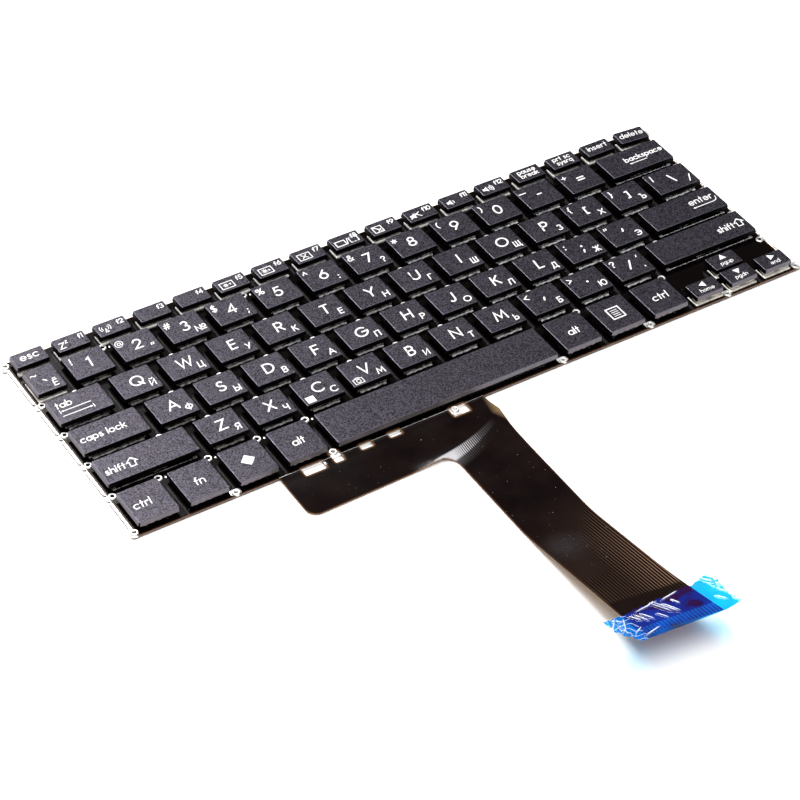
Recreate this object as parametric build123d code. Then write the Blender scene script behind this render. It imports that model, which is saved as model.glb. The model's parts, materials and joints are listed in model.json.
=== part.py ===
# Laptop keyboard: a metal plate, a printed film with its tail, and keys on scissor links and rubber domes.
# Millimetres. The origin is the middle of the plate's underside, X to the right, Y to the back, Z up.
from build123d import *
import os
from collections import namedtuple
from math import asin, atan2, cos, degrees, hypot, radians, sin

# Key block
KEY_PITCH = 18.2
KEY_GAP = 3.3
ROW_PITCH = 16.53
ROW_GAP = 3.7
LEAD = 14.15
BACKSPACE_WIDTH = 27.16
TAB_STAGGER = 0.5
CAPS_STAGGER = 0.75
SHIFT_STAGGER = 1.25
FUNCTION_WIDTH = 12.1
FUNCTION_DEPTH = 7.3
FUNCTION_GAP = 2.5
BOTTOM_DEPTH = 16.1
BOTTOM_GAP = 4.2
ARROW_PITCH = 14.9
ARROW_GAP = 2.9
HALF_KEY_GAP = 0.9

# Keycap
CAP_HEIGHT = 1.8
CAP_INSET = 0.27
CAP_EDGE = 0.2
CAP_WALL = 0.6
CAP_TOP = 0.9
TRAVEL = 1.4
PRESS_CLEARANCE = 0.15
HOMING_RIDGE = (3.0, 0.5, 0.25)
HOMING_INSET = 2.2

# Scissor links, domes and wires
LINK_THICKNESS = 0.75
LINK_BAR = 1.2
LINK_SIDE_ROOM = 1.25
LINK_SMALL_ROOM = 0.25
LINK_END_ROOM = 0.2
LINK_PLAY = 0.1
SEAT_PLAY = 0.02
DOME_BASE = 2.7
DOME_TOP = 1.5
DOME_SMALL_BASE = 1.4
DOME_SMALL_TOP = 1.0
DOME_SIDES = 6
WIRE_RADIUS = 0.4
WIRE_SIDES = 6
WIRE_LEG = 3.4
WIRE_END_ROOM = 2.2
WIRE_ROOM = 1.4

# Plate and film
PLATE_THICKNESS = 0.5
PLATE_SIDE_MARGIN = 2.2
PLATE_FRONT_MARGIN = 1.7
PLATE_BACK_MARGIN = 1.1
EAR_REACH = 1.2
EAR_LENGTH = 4.2
STAKE_RADIUS = 0.75
STAKE_SIDES = 8
NOTCH_RADIUS = 1.0
NOTCH_DEPTH = 2.4
NOTCH_CORNER = 0.6
FILM_THICKNESS = 0.25
FILM_SIDE_INSET = 1.8
FILM_EDGE_INSET = 0.25
FILM_HOLE_ROOM = 1.1

# Flap and tail of the film
FLAP_START = 49.9
FLAP_WIDTH = 78.5
FLAP_REACH = 20.1
FLAP_CORNER = 4.0
TAIL_WIDTH = 24.6
TAIL_CORNER = 4.5
TAIL_FLAT = 37.0
TAIL_BEND_RADIUS = 60.0
TAIL_RISE_ANGLE = 9.5
TAIL_RISE_LENGTH = 57.0
WINDOW_INSET = 0.8
WINDOWS = ((8.1, 7.9, 3.4), (29.9, 4.5, 2.0), (41.1, 4.6, 2.0))
STIFFENER_LENGTH = 9.0
STIFFENER_THICKNESS = 0.2
TAPE_THICKNESS = 0.1
TAPE_LENGTH = 13.5
TAPE_FRONT_OVERHANG = 2.0
TAPE_LEFT_OVERHANG = 7.5
TAPE_RIGHT_OVERHANG = 10.5
TAPE_LEFT_SLANT = 5.0
TAPE_RIGHT_SLANT = 1.5

Key = namedtuple("Key", "name x y width depth")

# Keys of each row, from left to right
function_names = ["escape"] + [f"f{i}" for i in range(1, 13)] + ["pause", "print", "insert", "delete"]
number_names = [f"digit_{n}" for n in (1, 2, 3, 4, 5, 6, 7, 8, 9, 0)] + ["minus", "equals"]
tab_names = list("qwertyuiop") + ["left_bracket", "right_bracket"]
caps_names = list("asdfghjkl") + ["semicolon", "apostrophe"]
shift_names = list("zxcvbnm") + ["comma", "period", "slash"]
left_names = ["left_ctrl", "fn", "system", "left_alt"]
right_names = ["right_alt", "menu", "right_ctrl"]
full_rows = [number_names, tab_names, caps_names, shift_names]

# Levels above the surface that the plate lies on
film_top = PLATE_THICKNESS + FILM_THICKNESS
cap_rim = film_top + TRAVEL + PRESS_CLEARANCE
cap_ceiling = cap_rim + CAP_HEIGHT - CAP_TOP
seat_height = cap_ceiling - film_top - SEAT_PLAY

# Outline of the key block and of the plate under it
key_width = KEY_PITCH - KEY_GAP
key_depth = ROW_PITCH - ROW_GAP
block_width = LEAD + len(number_names) * KEY_PITCH + BACKSPACE_WIDTH
full_rows_depth = len(full_rows) * ROW_PITCH - ROW_GAP
block_depth = FUNCTION_DEPTH + FUNCTION_GAP + full_rows_depth + BOTTOM_GAP + BOTTOM_DEPTH
plate_width = block_width + 2 * PLATE_SIDE_MARGIN
plate_depth = block_depth + PLATE_FRONT_MARGIN + PLATE_BACK_MARGIN
block_left = -block_width / 2
block_right = block_width / 2
plate_front = -plate_depth / 2
plate_back = plate_depth / 2
number_back = plate_back - PLATE_BACK_MARGIN - FUNCTION_DEPTH - FUNCTION_GAP
row_middles = [number_back - key_depth / 2 - i * ROW_PITCH for i in range(len(full_rows))]
bottom_front = plate_front + PLATE_FRONT_MARGIN
bottom_middle = bottom_front + BOTTOM_DEPTH / 2
bottom_gap_middle = bottom_front + BOTTOM_DEPTH + BOTTOM_GAP / 2
row_gaps = [y - ROW_PITCH / 2 for y in row_middles[:-1]] + [bottom_gap_middle]
arrow_width = ARROW_PITCH - ARROW_GAP
arrows_left = block_right - 2 * ARROW_PITCH - arrow_width
right_group = arrows_left - len(right_names) * KEY_PITCH
space_left = block_left + len(left_names) * KEY_PITCH


def spread(name, left, right, y, depth):
    """One key between two edges."""
    return Key(name, (left + right) / 2, y, right - left, depth)


def letter_row(first, letters, last, stagger, y):
    """A row whose first and last keys fill up to the sides of the key block."""
    start = block_left + LEAD + stagger * KEY_PITCH
    keys = [spread(first, block_left, start - KEY_GAP, y, key_depth)]
    for i, name in enumerate(letters):
        left = start + i * KEY_PITCH
        keys.append(spread(name, left, left + key_width, y, key_depth))
    keys.append(spread(last, start + len(letters) * KEY_PITCH, block_right, y, key_depth))
    return keys


def function_row():
    """Half-height keys spread evenly over the whole width."""
    y = plate_back - PLATE_BACK_MARGIN - FUNCTION_DEPTH / 2
    pitch = (block_width - FUNCTION_WIDTH) / (len(function_names) - 1)
    lefts = [block_left + i * pitch for i in range(len(function_names))]
    return [spread(n, x, x + FUNCTION_WIDTH, y, FUNCTION_DEPTH) for n, x in zip(function_names, lefts)]


def bottom_row():
    """Four keys, the space bar, three keys and the arrows at half height."""
    keys = []
    for start, names in ((block_left, left_names), (right_group, right_names)):
        for i, name in enumerate(names):
            left = start + i * KEY_PITCH
            keys.append(spread(name, left, left + key_width, bottom_middle, BOTTOM_DEPTH))
    keys.append(spread("space", space_left, right_group - KEY_GAP, bottom_middle, BOTTOM_DEPTH))
    half = (BOTTOM_DEPTH - HALF_KEY_GAP) / 2
    low = bottom_front + half / 2
    high = low + half + HALF_KEY_GAP
    for name, column, y in (
        ("arrow_left", 0, low), ("arrow_up", 1, high), ("arrow_down", 1, low), ("arrow_right", 2, low)
    ):
        left = arrows_left + column * ARROW_PITCH
        keys.append(spread(name, left, left + arrow_width, y, half))
    return keys


upper_keys = function_row() + letter_row("grave", number_names, "backspace", 0, row_middles[0])
lower_keys = (
    letter_row("tab", tab_names, "backslash", TAB_STAGGER, row_middles[1])
    + letter_row("caps_lock", caps_names, "enter", CAPS_STAGGER, row_middles[2])
    + letter_row("left_shift", shift_names, "right_shift", SHIFT_STAGGER, row_middles[3])
    + bottom_row()
)
all_keys = upper_keys + lower_keys
wired = ("backspace", "enter", "left_shift", "right_shift", "space")


def is_small(key):
    """Half-height and narrow keys have smaller links and domes."""
    return key.depth < key_depth or key.width < key_width


def keycap(key):
    """A hollow cap with leaning sides and a broken top edge."""
    lean = degrees(atan2(CAP_INSET, CAP_HEIGHT))
    body = extrude(Rectangle(key.width, key.depth), CAP_HEIGHT, taper=lean)
    body = chamfer(body.faces().sort_by(Axis.Z)[-1].edges(), CAP_EDGE)
    inside = Rectangle(key.width - 2 * CAP_WALL, key.depth - 2 * CAP_WALL)
    body -= extrude(inside, CAP_HEIGHT - CAP_TOP)
    if key.name in ("f", "j"):
        length, width, height = HOMING_RIDGE
        place = Pos(0, HOMING_INSET - key.depth / 2, CAP_HEIGHT)
        body += place * Box(length, width, height, align=(Align.CENTER, Align.CENTER, Align.MIN))
    return Pos(key.x, key.y, cap_rim) * body


def link_size(key):
    """Width and length of a key's outer link."""
    inside_width = key.width - 2 * CAP_WALL
    inside_depth = key.depth - 2 * CAP_WALL
    if is_small(key):
        return inside_width - 2 * LINK_SMALL_ROOM, inside_depth - 2 * LINK_END_ROOM
    length = key_depth - 2 * CAP_WALL - 2 * LINK_END_ROOM
    if key.name in wired:
        return key_width - 2 * CAP_WALL - 2 * LINK_SIDE_ROOM, length - 2 * WIRE_ROOM
    return inside_width - 2 * LINK_SIDE_ROOM, length


def tilted_link(width, length):
    """A three-sided frame that leans from the film at its bar to the cap at its open end."""
    outline = Rectangle(width, length, align=(Align.CENTER, Align.MIN))
    opening = Rectangle(width - 2 * LINK_BAR, length - LINK_BAR, align=(Align.CENTER, Align.MIN))
    flat = extrude(outline - Pos(0, LINK_BAR) * opening, LINK_THICKNESS)
    lean = asin(seat_height / hypot(length, LINK_THICKNESS)) - atan2(LINK_THICKNESS, length)
    reach = length * cos(lean) - LINK_THICKNESS * sin(lean)
    return Pos(0, -reach / 2, film_top) * Rot(degrees(lean), 0, 0) * flat


def outer_link(key):
    """Its bar lies along the front of the key."""
    return Pos(key.x, key.y) * tilted_link(*link_size(key))


def inner_link(key):
    """It fits between the arms of the outer link, with its bar at the back."""
    width, length = link_size(key)
    between_arms = width - 2 * LINK_BAR - 2 * LINK_PLAY
    return Pos(key.x, key.y) * Rot(0, 0, 180) * tilted_link(between_arms, length)


def rubber_dome(key):
    """A tapered dome between the film and the cap."""
    base = DOME_SMALL_BASE if is_small(key) else DOME_BASE
    top = DOME_SMALL_TOP if is_small(key) else DOME_TOP
    flat_drop = (base - top) * cos(radians(180 / DOME_SIDES))
    lean = degrees(atan2(flat_drop, seat_height))
    body = extrude(RegularPolygon(base, DOME_SIDES), seat_height, taper=lean)
    return Pos(key.x, key.y, film_top) * body


def stabiliser_wire(key):
    """A bent wire: its long run under the front of the cap, its two legs back and down to the film."""
    front = key.y - key_depth / 2 + CAP_WALL + LINK_END_ROOM + WIRE_RADIUS
    end = key.width / 2 - CAP_WALL - WIRE_END_ROOM
    high = cap_ceiling - SEAT_PLAY - WIRE_RADIUS
    low = film_top + SEAT_PLAY + WIRE_RADIUS
    left, right = key.x - end, key.x + end
    foot = front + WIRE_LEG
    path = Polyline((left, foot, low), (left, front, high), (right, front, high), (right, foot, low))
    start = Plane(path @ 0, z_dir=path % 0)
    return sweep(start * RegularPolygon(WIRE_RADIUS, WIRE_SIDES), path, transition=Transition.RIGHT)


def both_sides(rows):
    return [(x, y) for x in (block_left, block_right) for y in rows]


# Holes and notches stand in the gaps between keys. Four round holes locate the plate,
# and the stakes between them go through plainer holes.
left_gaps = [block_left + (i + 1) * KEY_PITCH - KEY_GAP / 2 for i in range(len(left_names))]
right_gaps = [right_group + i * KEY_PITCH - KEY_GAP / 2 for i in (0, 2)]
space_middle = (space_left + right_group - KEY_GAP) / 2
first_arrow_gap = arrows_left + arrow_width + ARROW_GAP / 2
locating_holes = both_sides((row_gaps[0], row_gaps[3]))
stake_holes = both_sides(row_gaps[1:3]) + [(x, bottom_gap_middle) for x in left_gaps]
front_notches = [left_gaps[1], left_gaps[3], space_middle, *right_gaps, first_arrow_gap]


def base_plate():
    """Sheet metal with stake holes, notches in its front edge and an ear at each corner."""
    outline = Rectangle(plate_width, plate_depth)
    for side in (-1, 1):
        for end in (-1, 1):
            ear_y = end * (plate_depth - EAR_LENGTH) / 2
            ear = Rectangle(2 * EAR_REACH, EAR_LENGTH)
            outline += Pos(side * plate_width / 2, ear_y) * chamfer(ear.vertices(), EAR_REACH / 2)
    for x, y in locating_holes:
        outline -= Pos(x, y) * Circle(STAKE_RADIUS)
    for x, y in stake_holes:
        outline -= Pos(x, y) * RegularPolygon(STAKE_RADIUS, STAKE_SIDES)
    for x in front_notches:
        mouth = Rectangle(2 * NOTCH_RADIUS, NOTCH_DEPTH, align=(Align.CENTER, Align.MIN))
        outline -= Pos(x, plate_front) * chamfer(mouth.vertices().group_by(Axis.Y)[-1], NOTCH_CORNER)
    return extrude(outline, PLATE_THICKNESS)


flap_left = block_left + FLAP_START
flap_right = flap_left + FLAP_WIDTH
flap_front = plate_front - FLAP_REACH
tail_middle = flap_right - TAIL_WIDTH / 2
bend_start = flap_front - TAIL_FLAT


def film_outline():
    """The film on the plate, its flap in front and the level part of its tail."""
    front_line = plate_front + FILM_EDGE_INSET
    on_plate = Rectangle(plate_width - 2 * FILM_SIDE_INSET, plate_depth - 2 * FILM_EDGE_INSET)
    corner = (Align.MIN, Align.MIN)
    flap = Pos(flap_left, flap_front) * Rectangle(FLAP_WIDTH, front_line - flap_front, align=corner)
    tail_left = flap_right - TAIL_WIDTH
    flap += Pos(tail_left, bend_start) * Rectangle(TAIL_WIDTH, TAIL_FLAT, align=corner)
    outer = flap.vertices().sort_by_distance((flap_left, flap_front))[0]
    flap = fillet(outer, FLAP_CORNER)
    inner = flap.vertices().sort_by_distance((tail_left, flap_front))[0]
    flap = fillet(inner, TAIL_CORNER)
    outline = on_plate + flap
    hole = 2 * (STAKE_RADIUS + FILM_HOLE_ROOM)
    for x, y in locating_holes + stake_holes:
        outline -= Pos(x, y) * Rectangle(hole, hole)
    slot_width = 2 * (NOTCH_RADIUS + FILM_HOLE_ROOM)
    slot_depth = 2 * (NOTCH_DEPTH + FILM_HOLE_ROOM)
    for x in front_notches:
        outline -= Pos(x, plate_front) * Rectangle(slot_width, slot_depth)
    for left, width, depth in WINDOWS:
        place = Pos(flap_left + left, plate_front - WINDOW_INSET)
        outline -= place * Rectangle(width, depth, align=(Align.MIN, Align.MAX))
    return outline


def bend_point(radius, angle):
    """A point of the tail's bend, in the side view, at an angle from the bottom of the bend."""
    centre_height = PLATE_THICKNESS + TAIL_BEND_RADIUS
    return Vector(bend_start - radius * sin(angle), centre_height - radius * cos(angle))


rise = radians(TAIL_RISE_ANGLE)
rise_step = Vector(-cos(rise), sin(rise))
inner_radius = TAIL_BEND_RADIUS - FILM_THICKNESS


def rising_tail():
    """The end of the tail, bent upwards from the table."""
    under, over = bend_point(TAIL_BEND_RADIUS, 0), bend_point(inner_radius, 0)
    under_end, over_end = bend_point(TAIL_BEND_RADIUS, rise), bend_point(inner_radius, rise)
    run = rise_step * TAIL_RISE_LENGTH
    side = make_face([
        ThreePointArc(under, bend_point(TAIL_BEND_RADIUS, rise / 2), under_end),
        Line(under_end, under_end + run),
        Line(under_end + run, over_end + run),
        Line(over_end + run, over_end),
        ThreePointArc(over_end, bend_point(inner_radius, rise / 2), over),
        Line(over, under),
    ])
    return Pos(tail_middle, 0, 0) * extrude(Plane.YZ * side, TAIL_WIDTH / 2, both=True)


def membrane_film():
    return extrude(Pos(0, 0, PLATE_THICKNESS) * film_outline(), FILM_THICKNESS) + rising_tail()


def tail_plane(radius):
    """A plane on one side of the rising tail, at its tip: x across it, y along it towards the board."""
    tip = bend_point(radius, rise) + rise_step * TAIL_RISE_LENGTH
    return Plane((tail_middle, tip.X, tip.Y), x_dir=(1, 0, 0), z_dir=(0, sin(rise), cos(rise)))


def tail_stiffener():
    """A backing strip under the contacts."""
    strip = Rectangle(TAIL_WIDTH, STIFFENER_LENGTH, align=(Align.CENTER, Align.MIN))
    return extrude(tail_plane(TAIL_BEND_RADIUS) * strip, -STIFFENER_THICKNESS)


def protective_tape():
    """A strip of thin film over the contacts, wider than the tail and cut at a slant."""
    left = -TAIL_WIDTH / 2 - TAPE_LEFT_OVERHANG
    right = TAIL_WIDTH / 2 + TAPE_RIGHT_OVERHANG
    front = -TAPE_FRONT_OVERHANG
    back = front + TAPE_LENGTH
    left_edge = [(left, back), (left + TAPE_LEFT_SLANT, front)]
    right_edge = [(right, front), (right - TAPE_RIGHT_SLANT, back)]
    outline = make_face(Polyline(*left_edge, *right_edge, close=True))
    return extrude(tail_plane(inner_radius) * outline, TAPE_THICKNESS)


def group(make, keys):
    return Compound(children=[make(key) for key in keys])


os.makedirs("parts", exist_ok=True)
nodes = {
    "base_plate": base_plate(),
    "membrane_film": membrane_film(),
    "tail_stiffener": tail_stiffener(),
    "protective_tape": protective_tape(),
    "rubber_domes": group(rubber_dome, all_keys),
    "outer_scissor_links": group(outer_link, all_keys),
    "inner_scissor_links": group(inner_link, all_keys),
    "stabiliser_wires": group(stabiliser_wire, [key for key in all_keys if key.name in wired]),
    "upper_rows_keycaps": group(keycap, upper_keys),
}
nodes |= {f"key_{key.name}": keycap(key) for key in lower_keys}
for name, shape in nodes.items():
    export_step(shape, f"parts/{name}.step")
print(len(nodes), "nodes; plate", round(plate_width, 2), "x", round(plate_depth, 2))
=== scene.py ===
# %% [markdown]
# # A loose laptop keyboard on white
# The object is the keyboard of a small laptop before it is fitted: a thin metal plate, a dark printed film
# with a long tail that ends under a strip of blue tape, and 82 keys that ride on scissor links. The packed
# model gives the places and sizes of these parts, in metres. This lesson dresses it: rounded caps with
# printed legends, mechanisms under them, stamped metal, film that bends, and crumpled tape. Shapes are
# written in millimetres; the camera, the lamps, the table and the finishes are in metres.

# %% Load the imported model
import json
from collections import namedtuple
from math import cos, hypot, pi, radians, sin, tan

import bmesh
import bpy
import numpy as np
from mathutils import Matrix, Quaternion, Vector
from mathutils.geometry import delaunay_2d_cdt


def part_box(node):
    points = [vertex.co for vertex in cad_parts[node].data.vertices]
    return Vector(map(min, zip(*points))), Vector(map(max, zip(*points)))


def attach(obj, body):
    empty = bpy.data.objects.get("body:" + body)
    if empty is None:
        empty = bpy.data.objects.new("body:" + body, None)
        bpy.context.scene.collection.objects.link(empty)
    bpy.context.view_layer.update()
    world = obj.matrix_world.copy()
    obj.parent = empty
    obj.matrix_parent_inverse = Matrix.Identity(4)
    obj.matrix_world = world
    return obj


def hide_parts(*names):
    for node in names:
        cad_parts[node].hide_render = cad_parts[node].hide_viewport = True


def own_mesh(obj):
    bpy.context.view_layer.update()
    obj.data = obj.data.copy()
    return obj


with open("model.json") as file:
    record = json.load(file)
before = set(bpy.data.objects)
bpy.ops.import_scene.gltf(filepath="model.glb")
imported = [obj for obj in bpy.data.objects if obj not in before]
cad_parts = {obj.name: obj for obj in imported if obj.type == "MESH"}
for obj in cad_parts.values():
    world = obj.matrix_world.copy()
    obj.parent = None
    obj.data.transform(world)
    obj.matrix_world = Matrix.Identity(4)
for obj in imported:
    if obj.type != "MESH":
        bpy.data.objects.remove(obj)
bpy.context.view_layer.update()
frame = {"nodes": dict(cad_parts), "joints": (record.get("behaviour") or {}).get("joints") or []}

MM = 0.001

# %% [markdown]
# ## Camera
# The keyboard was seen from its front left, from about 40 degrees up and through a long lens, so lines that
# run away stay nearly parallel. The eye and the point it looks at were found by lining up the corners of
# the keytops. A long lens on a plain sensor gives the frame, and a small roll levels it as it was.

# %% Camera
EYE = Vector((-0.397554, -0.597044, 0.604829))
AIM = Vector((-0.026018, -0.034542, 0.0))
ROLL = 1.976
LENS = 122.695

view = bpy.data.cameras.new("camera")
view.sensor_width = 36
view.lens = LENS
camera = bpy.data.objects.new("camera", view)
camera.location = EYE
turn = (AIM - EYE).to_track_quat("-Z", "Y")
camera.rotation_euler = (turn @ Quaternion((0, 0, 1), radians(ROLL))).to_euler()
bpy.context.scene.collection.objects.link(camera)
bpy.context.scene.camera = camera
print("camera distance:", round((AIM - EYE).length, 3), "m")

# %% [markdown]
# ## Finishes
# Each surface gets a material made of nodes, so nothing is one flat colour. The same three moves come back:
# a noise at the grain's real size, a ramp that turns it into two close colours, and a bump that catches
# light. Short helpers keep the recipes readable: one starts a material, one adds a node, and the rest
# join them.

# %% Helpers for finishes
def new_finish(name, **values):
    """A material, its node tree and its main shader, with plain values set on the shader."""
    material = bpy.data.materials.new(name)
    material.use_nodes = True
    shader = material.node_tree.nodes["Principled BSDF"]
    for socket, value in values.items():
        shader.inputs[socket.replace("_", " ")].default_value = value
    return material, material.node_tree, shader


def node(tree, kind, settings=None, **values):
    """A node with its settings and with the values of its sockets."""
    made = tree.nodes.new(kind)
    for name, value in (settings or {}).items():
        setattr(made, name, value)
    for socket, value in values.items():
        made.inputs[socket.replace("_", " ")].default_value = value
    return made


def noise(tree, scale, detail=2.0, stretch=None):
    """Noise in the frame's own metres, so that a grain has its real size; stretch draws it out."""
    place = node(tree, "ShaderNodeTexCoord")
    grain = node(tree, "ShaderNodeTexNoise", Scale=scale, Detail=detail)
    source = place.outputs["Object"]
    if stretch:
        squeeze = node(tree, "ShaderNodeMapping", Scale=stretch)
        tree.links.new(source, squeeze.inputs["Vector"])
        source = squeeze.outputs["Vector"]
    tree.links.new(source, grain.inputs["Vector"])
    return grain.outputs["Fac"]


def ramp(tree, source, *stops):
    """A colour ramp over a value: each stop is a place and a colour."""
    made = node(tree, "ShaderNodeValToRGB")
    while len(made.color_ramp.elements) < len(stops):
        made.color_ramp.elements.new(0.5)
    for element, (place, colour) in zip(made.color_ramp.elements, stops):
        element.position = place
        element.color = (*colour, 1)
    tree.links.new(source, made.inputs["Fac"])
    return made.outputs["Color"]


def spread_of(tree, source, low, high, start=0.3, end=0.7):
    """A value moved from one range to another."""
    made = node(tree, "ShaderNodeMapRange")
    for socket, value in (("From Min", start), ("From Max", end), ("To Min", low), ("To Max", high)):
        made.inputs[socket].default_value = value
    tree.links.new(source, made.inputs["Value"])
    return made.outputs["Result"]


def maths(tree, what, first, second):
    """One sum on two values; either may be a number."""
    made = node(tree, "ShaderNodeMath", {"operation": what})
    for socket, value in zip(made.inputs, (first, second)):
        if isinstance(value, (int, float)):
            socket.default_value = value
        else:
            tree.links.new(value, socket)
    return made.outputs["Value"]


def blend_of(tree, share, first, second):
    """Two colours mixed by a value; either may be a plain colour."""
    made = node(tree, "ShaderNodeMix", {"data_type": "RGBA"})
    tree.links.new(share, made.inputs["Factor"])
    for socket, value in ((made.inputs[6], first), (made.inputs[7], second)):
        if isinstance(value, tuple):
            socket.default_value = (*value, 1)
        else:
            tree.links.new(value, socket)
    return made.outputs[2]


def bumped(tree, shader, height, strength, depth):
    """The shader's normal, roughened by a height."""
    made = node(tree, "ShaderNodeBump", Strength=strength, Distance=depth)
    tree.links.new(height, made.inputs["Height"])
    plug(tree, made.outputs["Normal"], shader, "Normal")


def plug(tree, value, shader, socket):
    """A value joined to one of the shader's sockets."""
    tree.links.new(value, shader.inputs[socket])


def paint(tree, shader, source, *stops):
    """The shader's colour, as a ramp over a value."""
    plug(tree, ramp(tree, source, *stops), shader, "Base Color")


def roughen(tree, shader, source, low, high):
    """The shader's roughness, between two values."""
    plug(tree, spread_of(tree, source, low, high), shader, "Roughness")


def grained(name, scale, shaded_brown, painted_glint, sheen=None, detail=2.0, **values):
    """A finish in grains of two close colours; sheen is a noise's scale and the two ends of the roughness."""
    material, tree, shader = new_finish(name, **values)
    paint(tree, shader, noise(tree, scale, detail), shaded_brown, painted_glint)
    if sheen:
        roughen(tree, shader, noise(tree, sheen[0]), *sheen[1:])
    return material


def axes_of(tree, space="Object"):
    """The place of a point, and then its X, Y and Z."""
    place = node(tree, "ShaderNodeTexCoord").outputs[space]
    parts = node(tree, "ShaderNodeSeparateXYZ")
    tree.links.new(place, parts.inputs["Vector"])
    return place, *parts.outputs


def point_value(tree, name):
    """A value that is kept on the points of a mesh."""
    return node(tree, "ShaderNodeAttribute", {"attribute_name": name}).outputs["Fac"]


def times(tree, first, *others):
    """Values multiplied together."""
    for other in others:
        first = maths(tree, "MULTIPLY", first, other)
    return first


def plus(tree, first, second):
    """Two values added."""
    return maths(tree, "ADD", first, second)


def waves(tree, source, pitch):
    """A sine wave along a value, with one period to each pitch."""
    return maths(tree, "SINE", times(tree, source, 2 * pi / pitch), 0)


print("finish helpers ready")

# %% [markdown]
# ## Studio
# The picture is a cut-out on white: a bright table, lit until it clips, under a white ceiling with dim,
# warm walls. The walls matter: the glossy film and the sides of the caps mirror them, so both look nearly
# black. The ceiling is wide, so shadows stay soft, and it draws a bright line along every front and left
# edge. One soft lamp hangs behind on the left, just above what the flat film mirrors, and gives the grainy
# caps a sheen that fades to the right. A low warm one in front reaches under the raised tail and grazes the
# front sides.

# %% Studio
CEILING = 3.4
WALLS = (0.016, 0.013, 0.011)


def lamp(name, place, aim, size, power, tint=(1, 1, 1)):
    """A square soft lamp that faces a point."""
    light = bpy.data.lights.new(name, "AREA")
    light.size = size
    light.energy = power
    light.color = tint
    holder = bpy.data.objects.new(name, light)
    holder.location = place
    holder.rotation_euler = (Vector(aim) - Vector(place)).to_track_quat("-Z", "Y").to_euler()
    bpy.context.scene.collection.objects.link(holder)
    return holder


room = bpy.data.worlds.new("studio_room")
room.use_nodes = True
tree = room.node_tree
_, _, _, up = axes_of(tree, "Generated")
sky = ramp(tree, up, (0.79, WALLS), (0.86, (1, 1, 1)))
tree.links.new(sky, tree.nodes["Background"].inputs["Color"])
tree.nodes["Background"].inputs["Strength"].default_value = CEILING
bpy.context.scene.world = room
bpy.context.scene.view_settings.view_transform = "Standard"
lamp("soft_box_behind", (-0.06, 0.61, 0.85), (-0.06, -0.03, 0), 0.42, 13.5)
lamp("low_warm_fill", (-0.45, -1.0, 0.13), (-0.05, -0.06, 0), 0.5, 7.0, (1.0, 0.86, 0.72))
print("lamps:", len(bpy.data.lights))

# %% [markdown]
# ## Plastic, ink and metal
# The caps are black plastic moulded against a finely etched tool, so their tops sparkle in grains of about
# half a millimetre. The legends are white ink, a little uneven. The plate is bright rolled steel, with
# streaks along its length. Links are off-white nylon with a mottled grain. They are painted darker at the
# left of the board and paler to the right, as painted shade and light for how the lamps fall on them.

# %% Cap plastic and ink
SHEEN = (0.88, 0.80, 1.0, 1)
cap_plastic, tree, shader = new_finish("cap_plastic", Specular_Tint=SHEEN, Specular_IOR_Level=0.37)
grain = noise(tree, 2100.0)
plug(tree, spread_of(tree, grain, 0.06, 0.69), shader, "Specular IOR Level")
paint(tree, shader, grain, (0.38, (0.0008, 0.0007, 0.0013)), (0.62, (0.021, 0.0185, 0.025)))
roughen(tree, shader, noise(tree, 90.0), 0.35, 0.39)
bumped(tree, shader, noise(tree, 2000.0, 2.0), 0.7, 0.00014)

# Painted light and shade: lit and shaded copies of the cap plastic. A lighter, glossier one is the highlight
# on the rounded edge, a near-black one is the shade on the inner sides, and a lighter one is for sides lit by
# the table.
cap_edge = grained("cap_edge", 900.0, (0.3, (0.012, 0.011, 0.014)), (0.7, (0.03, 0.028, 0.034)),
                   (600.0, 0.22, 0.36), Specular_Tint=SHEEN, Specular_IOR_Level=1.0)
cap_side = grained("cap_side", 700.0, (0.3, (0.0006, 0.0005, 0.0007)), (0.7, (0.0017, 0.0015, 0.0018)),
                   (300.0, 0.42, 0.54), Specular_Tint=SHEEN, Specular_IOR_Level=0.06)
cap_outside = grained("cap_outside", 1500.0, (0.3, (0.04, 0.037, 0.04)), (0.7, (0.09, 0.085, 0.09)),
                      (300.0, 0.38, 0.50), Specular_Tint=SHEEN, Specular_IOR_Level=1.0)
ink = grained("legend_ink", 2500.0, (0.3, (0.60, 0.595, 0.60)), (0.6, (0.72, 0.72, 0.72)), Roughness=0.5)
print("cap finishes and ink ready")

# %% Metal, nylon and rubber
steel, tree, shader = new_finish("rolled_steel", Metallic=1.0)
streaks = noise(tree, 60.0, 3.0, (1.0, 5.0, 5.0))
paint(tree, shader, streaks, (0.3, (0.80, 0.79, 0.77)), (0.7, (0.92, 0.91, 0.89)))
roughen(tree, shader, streaks, 0.34, 0.44)

cream = grained("frame_nylon", 500.0, (0.3, (0.52, 0.51, 0.48)), (0.55, (0.90, 0.89, 0.85)), detail=3.0,
                Roughness=0.45)
# Painted shade: the plate's cut edges are dark brown, standing in for the thin shadow along them.
edge_shade = grained("cut_steel_edge", 800.0, (0.3, (0.035, 0.025, 0.02)), (0.7, (0.09, 0.07, 0.06)),
                   Roughness=0.6)
rubber = grained("dome_rubber", 400.0, (0.3, (0.20, 0.34, 0.31)), (0.7, (0.36, 0.50, 0.46)), Roughness=0.55,
                 Subsurface_Weight=0.15)
wire_steel = grained("spring_wire", 500.0, (0.3, (0.45, 0.45, 0.46)), (0.7, (0.66, 0.66, 0.66)),
                     (800.0, 0.2, 0.4), Metallic=1.0)

nylon, tree, shader = new_finish("link_nylon", Roughness=0.5)
_, across, _, _ = axes_of(tree)
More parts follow.
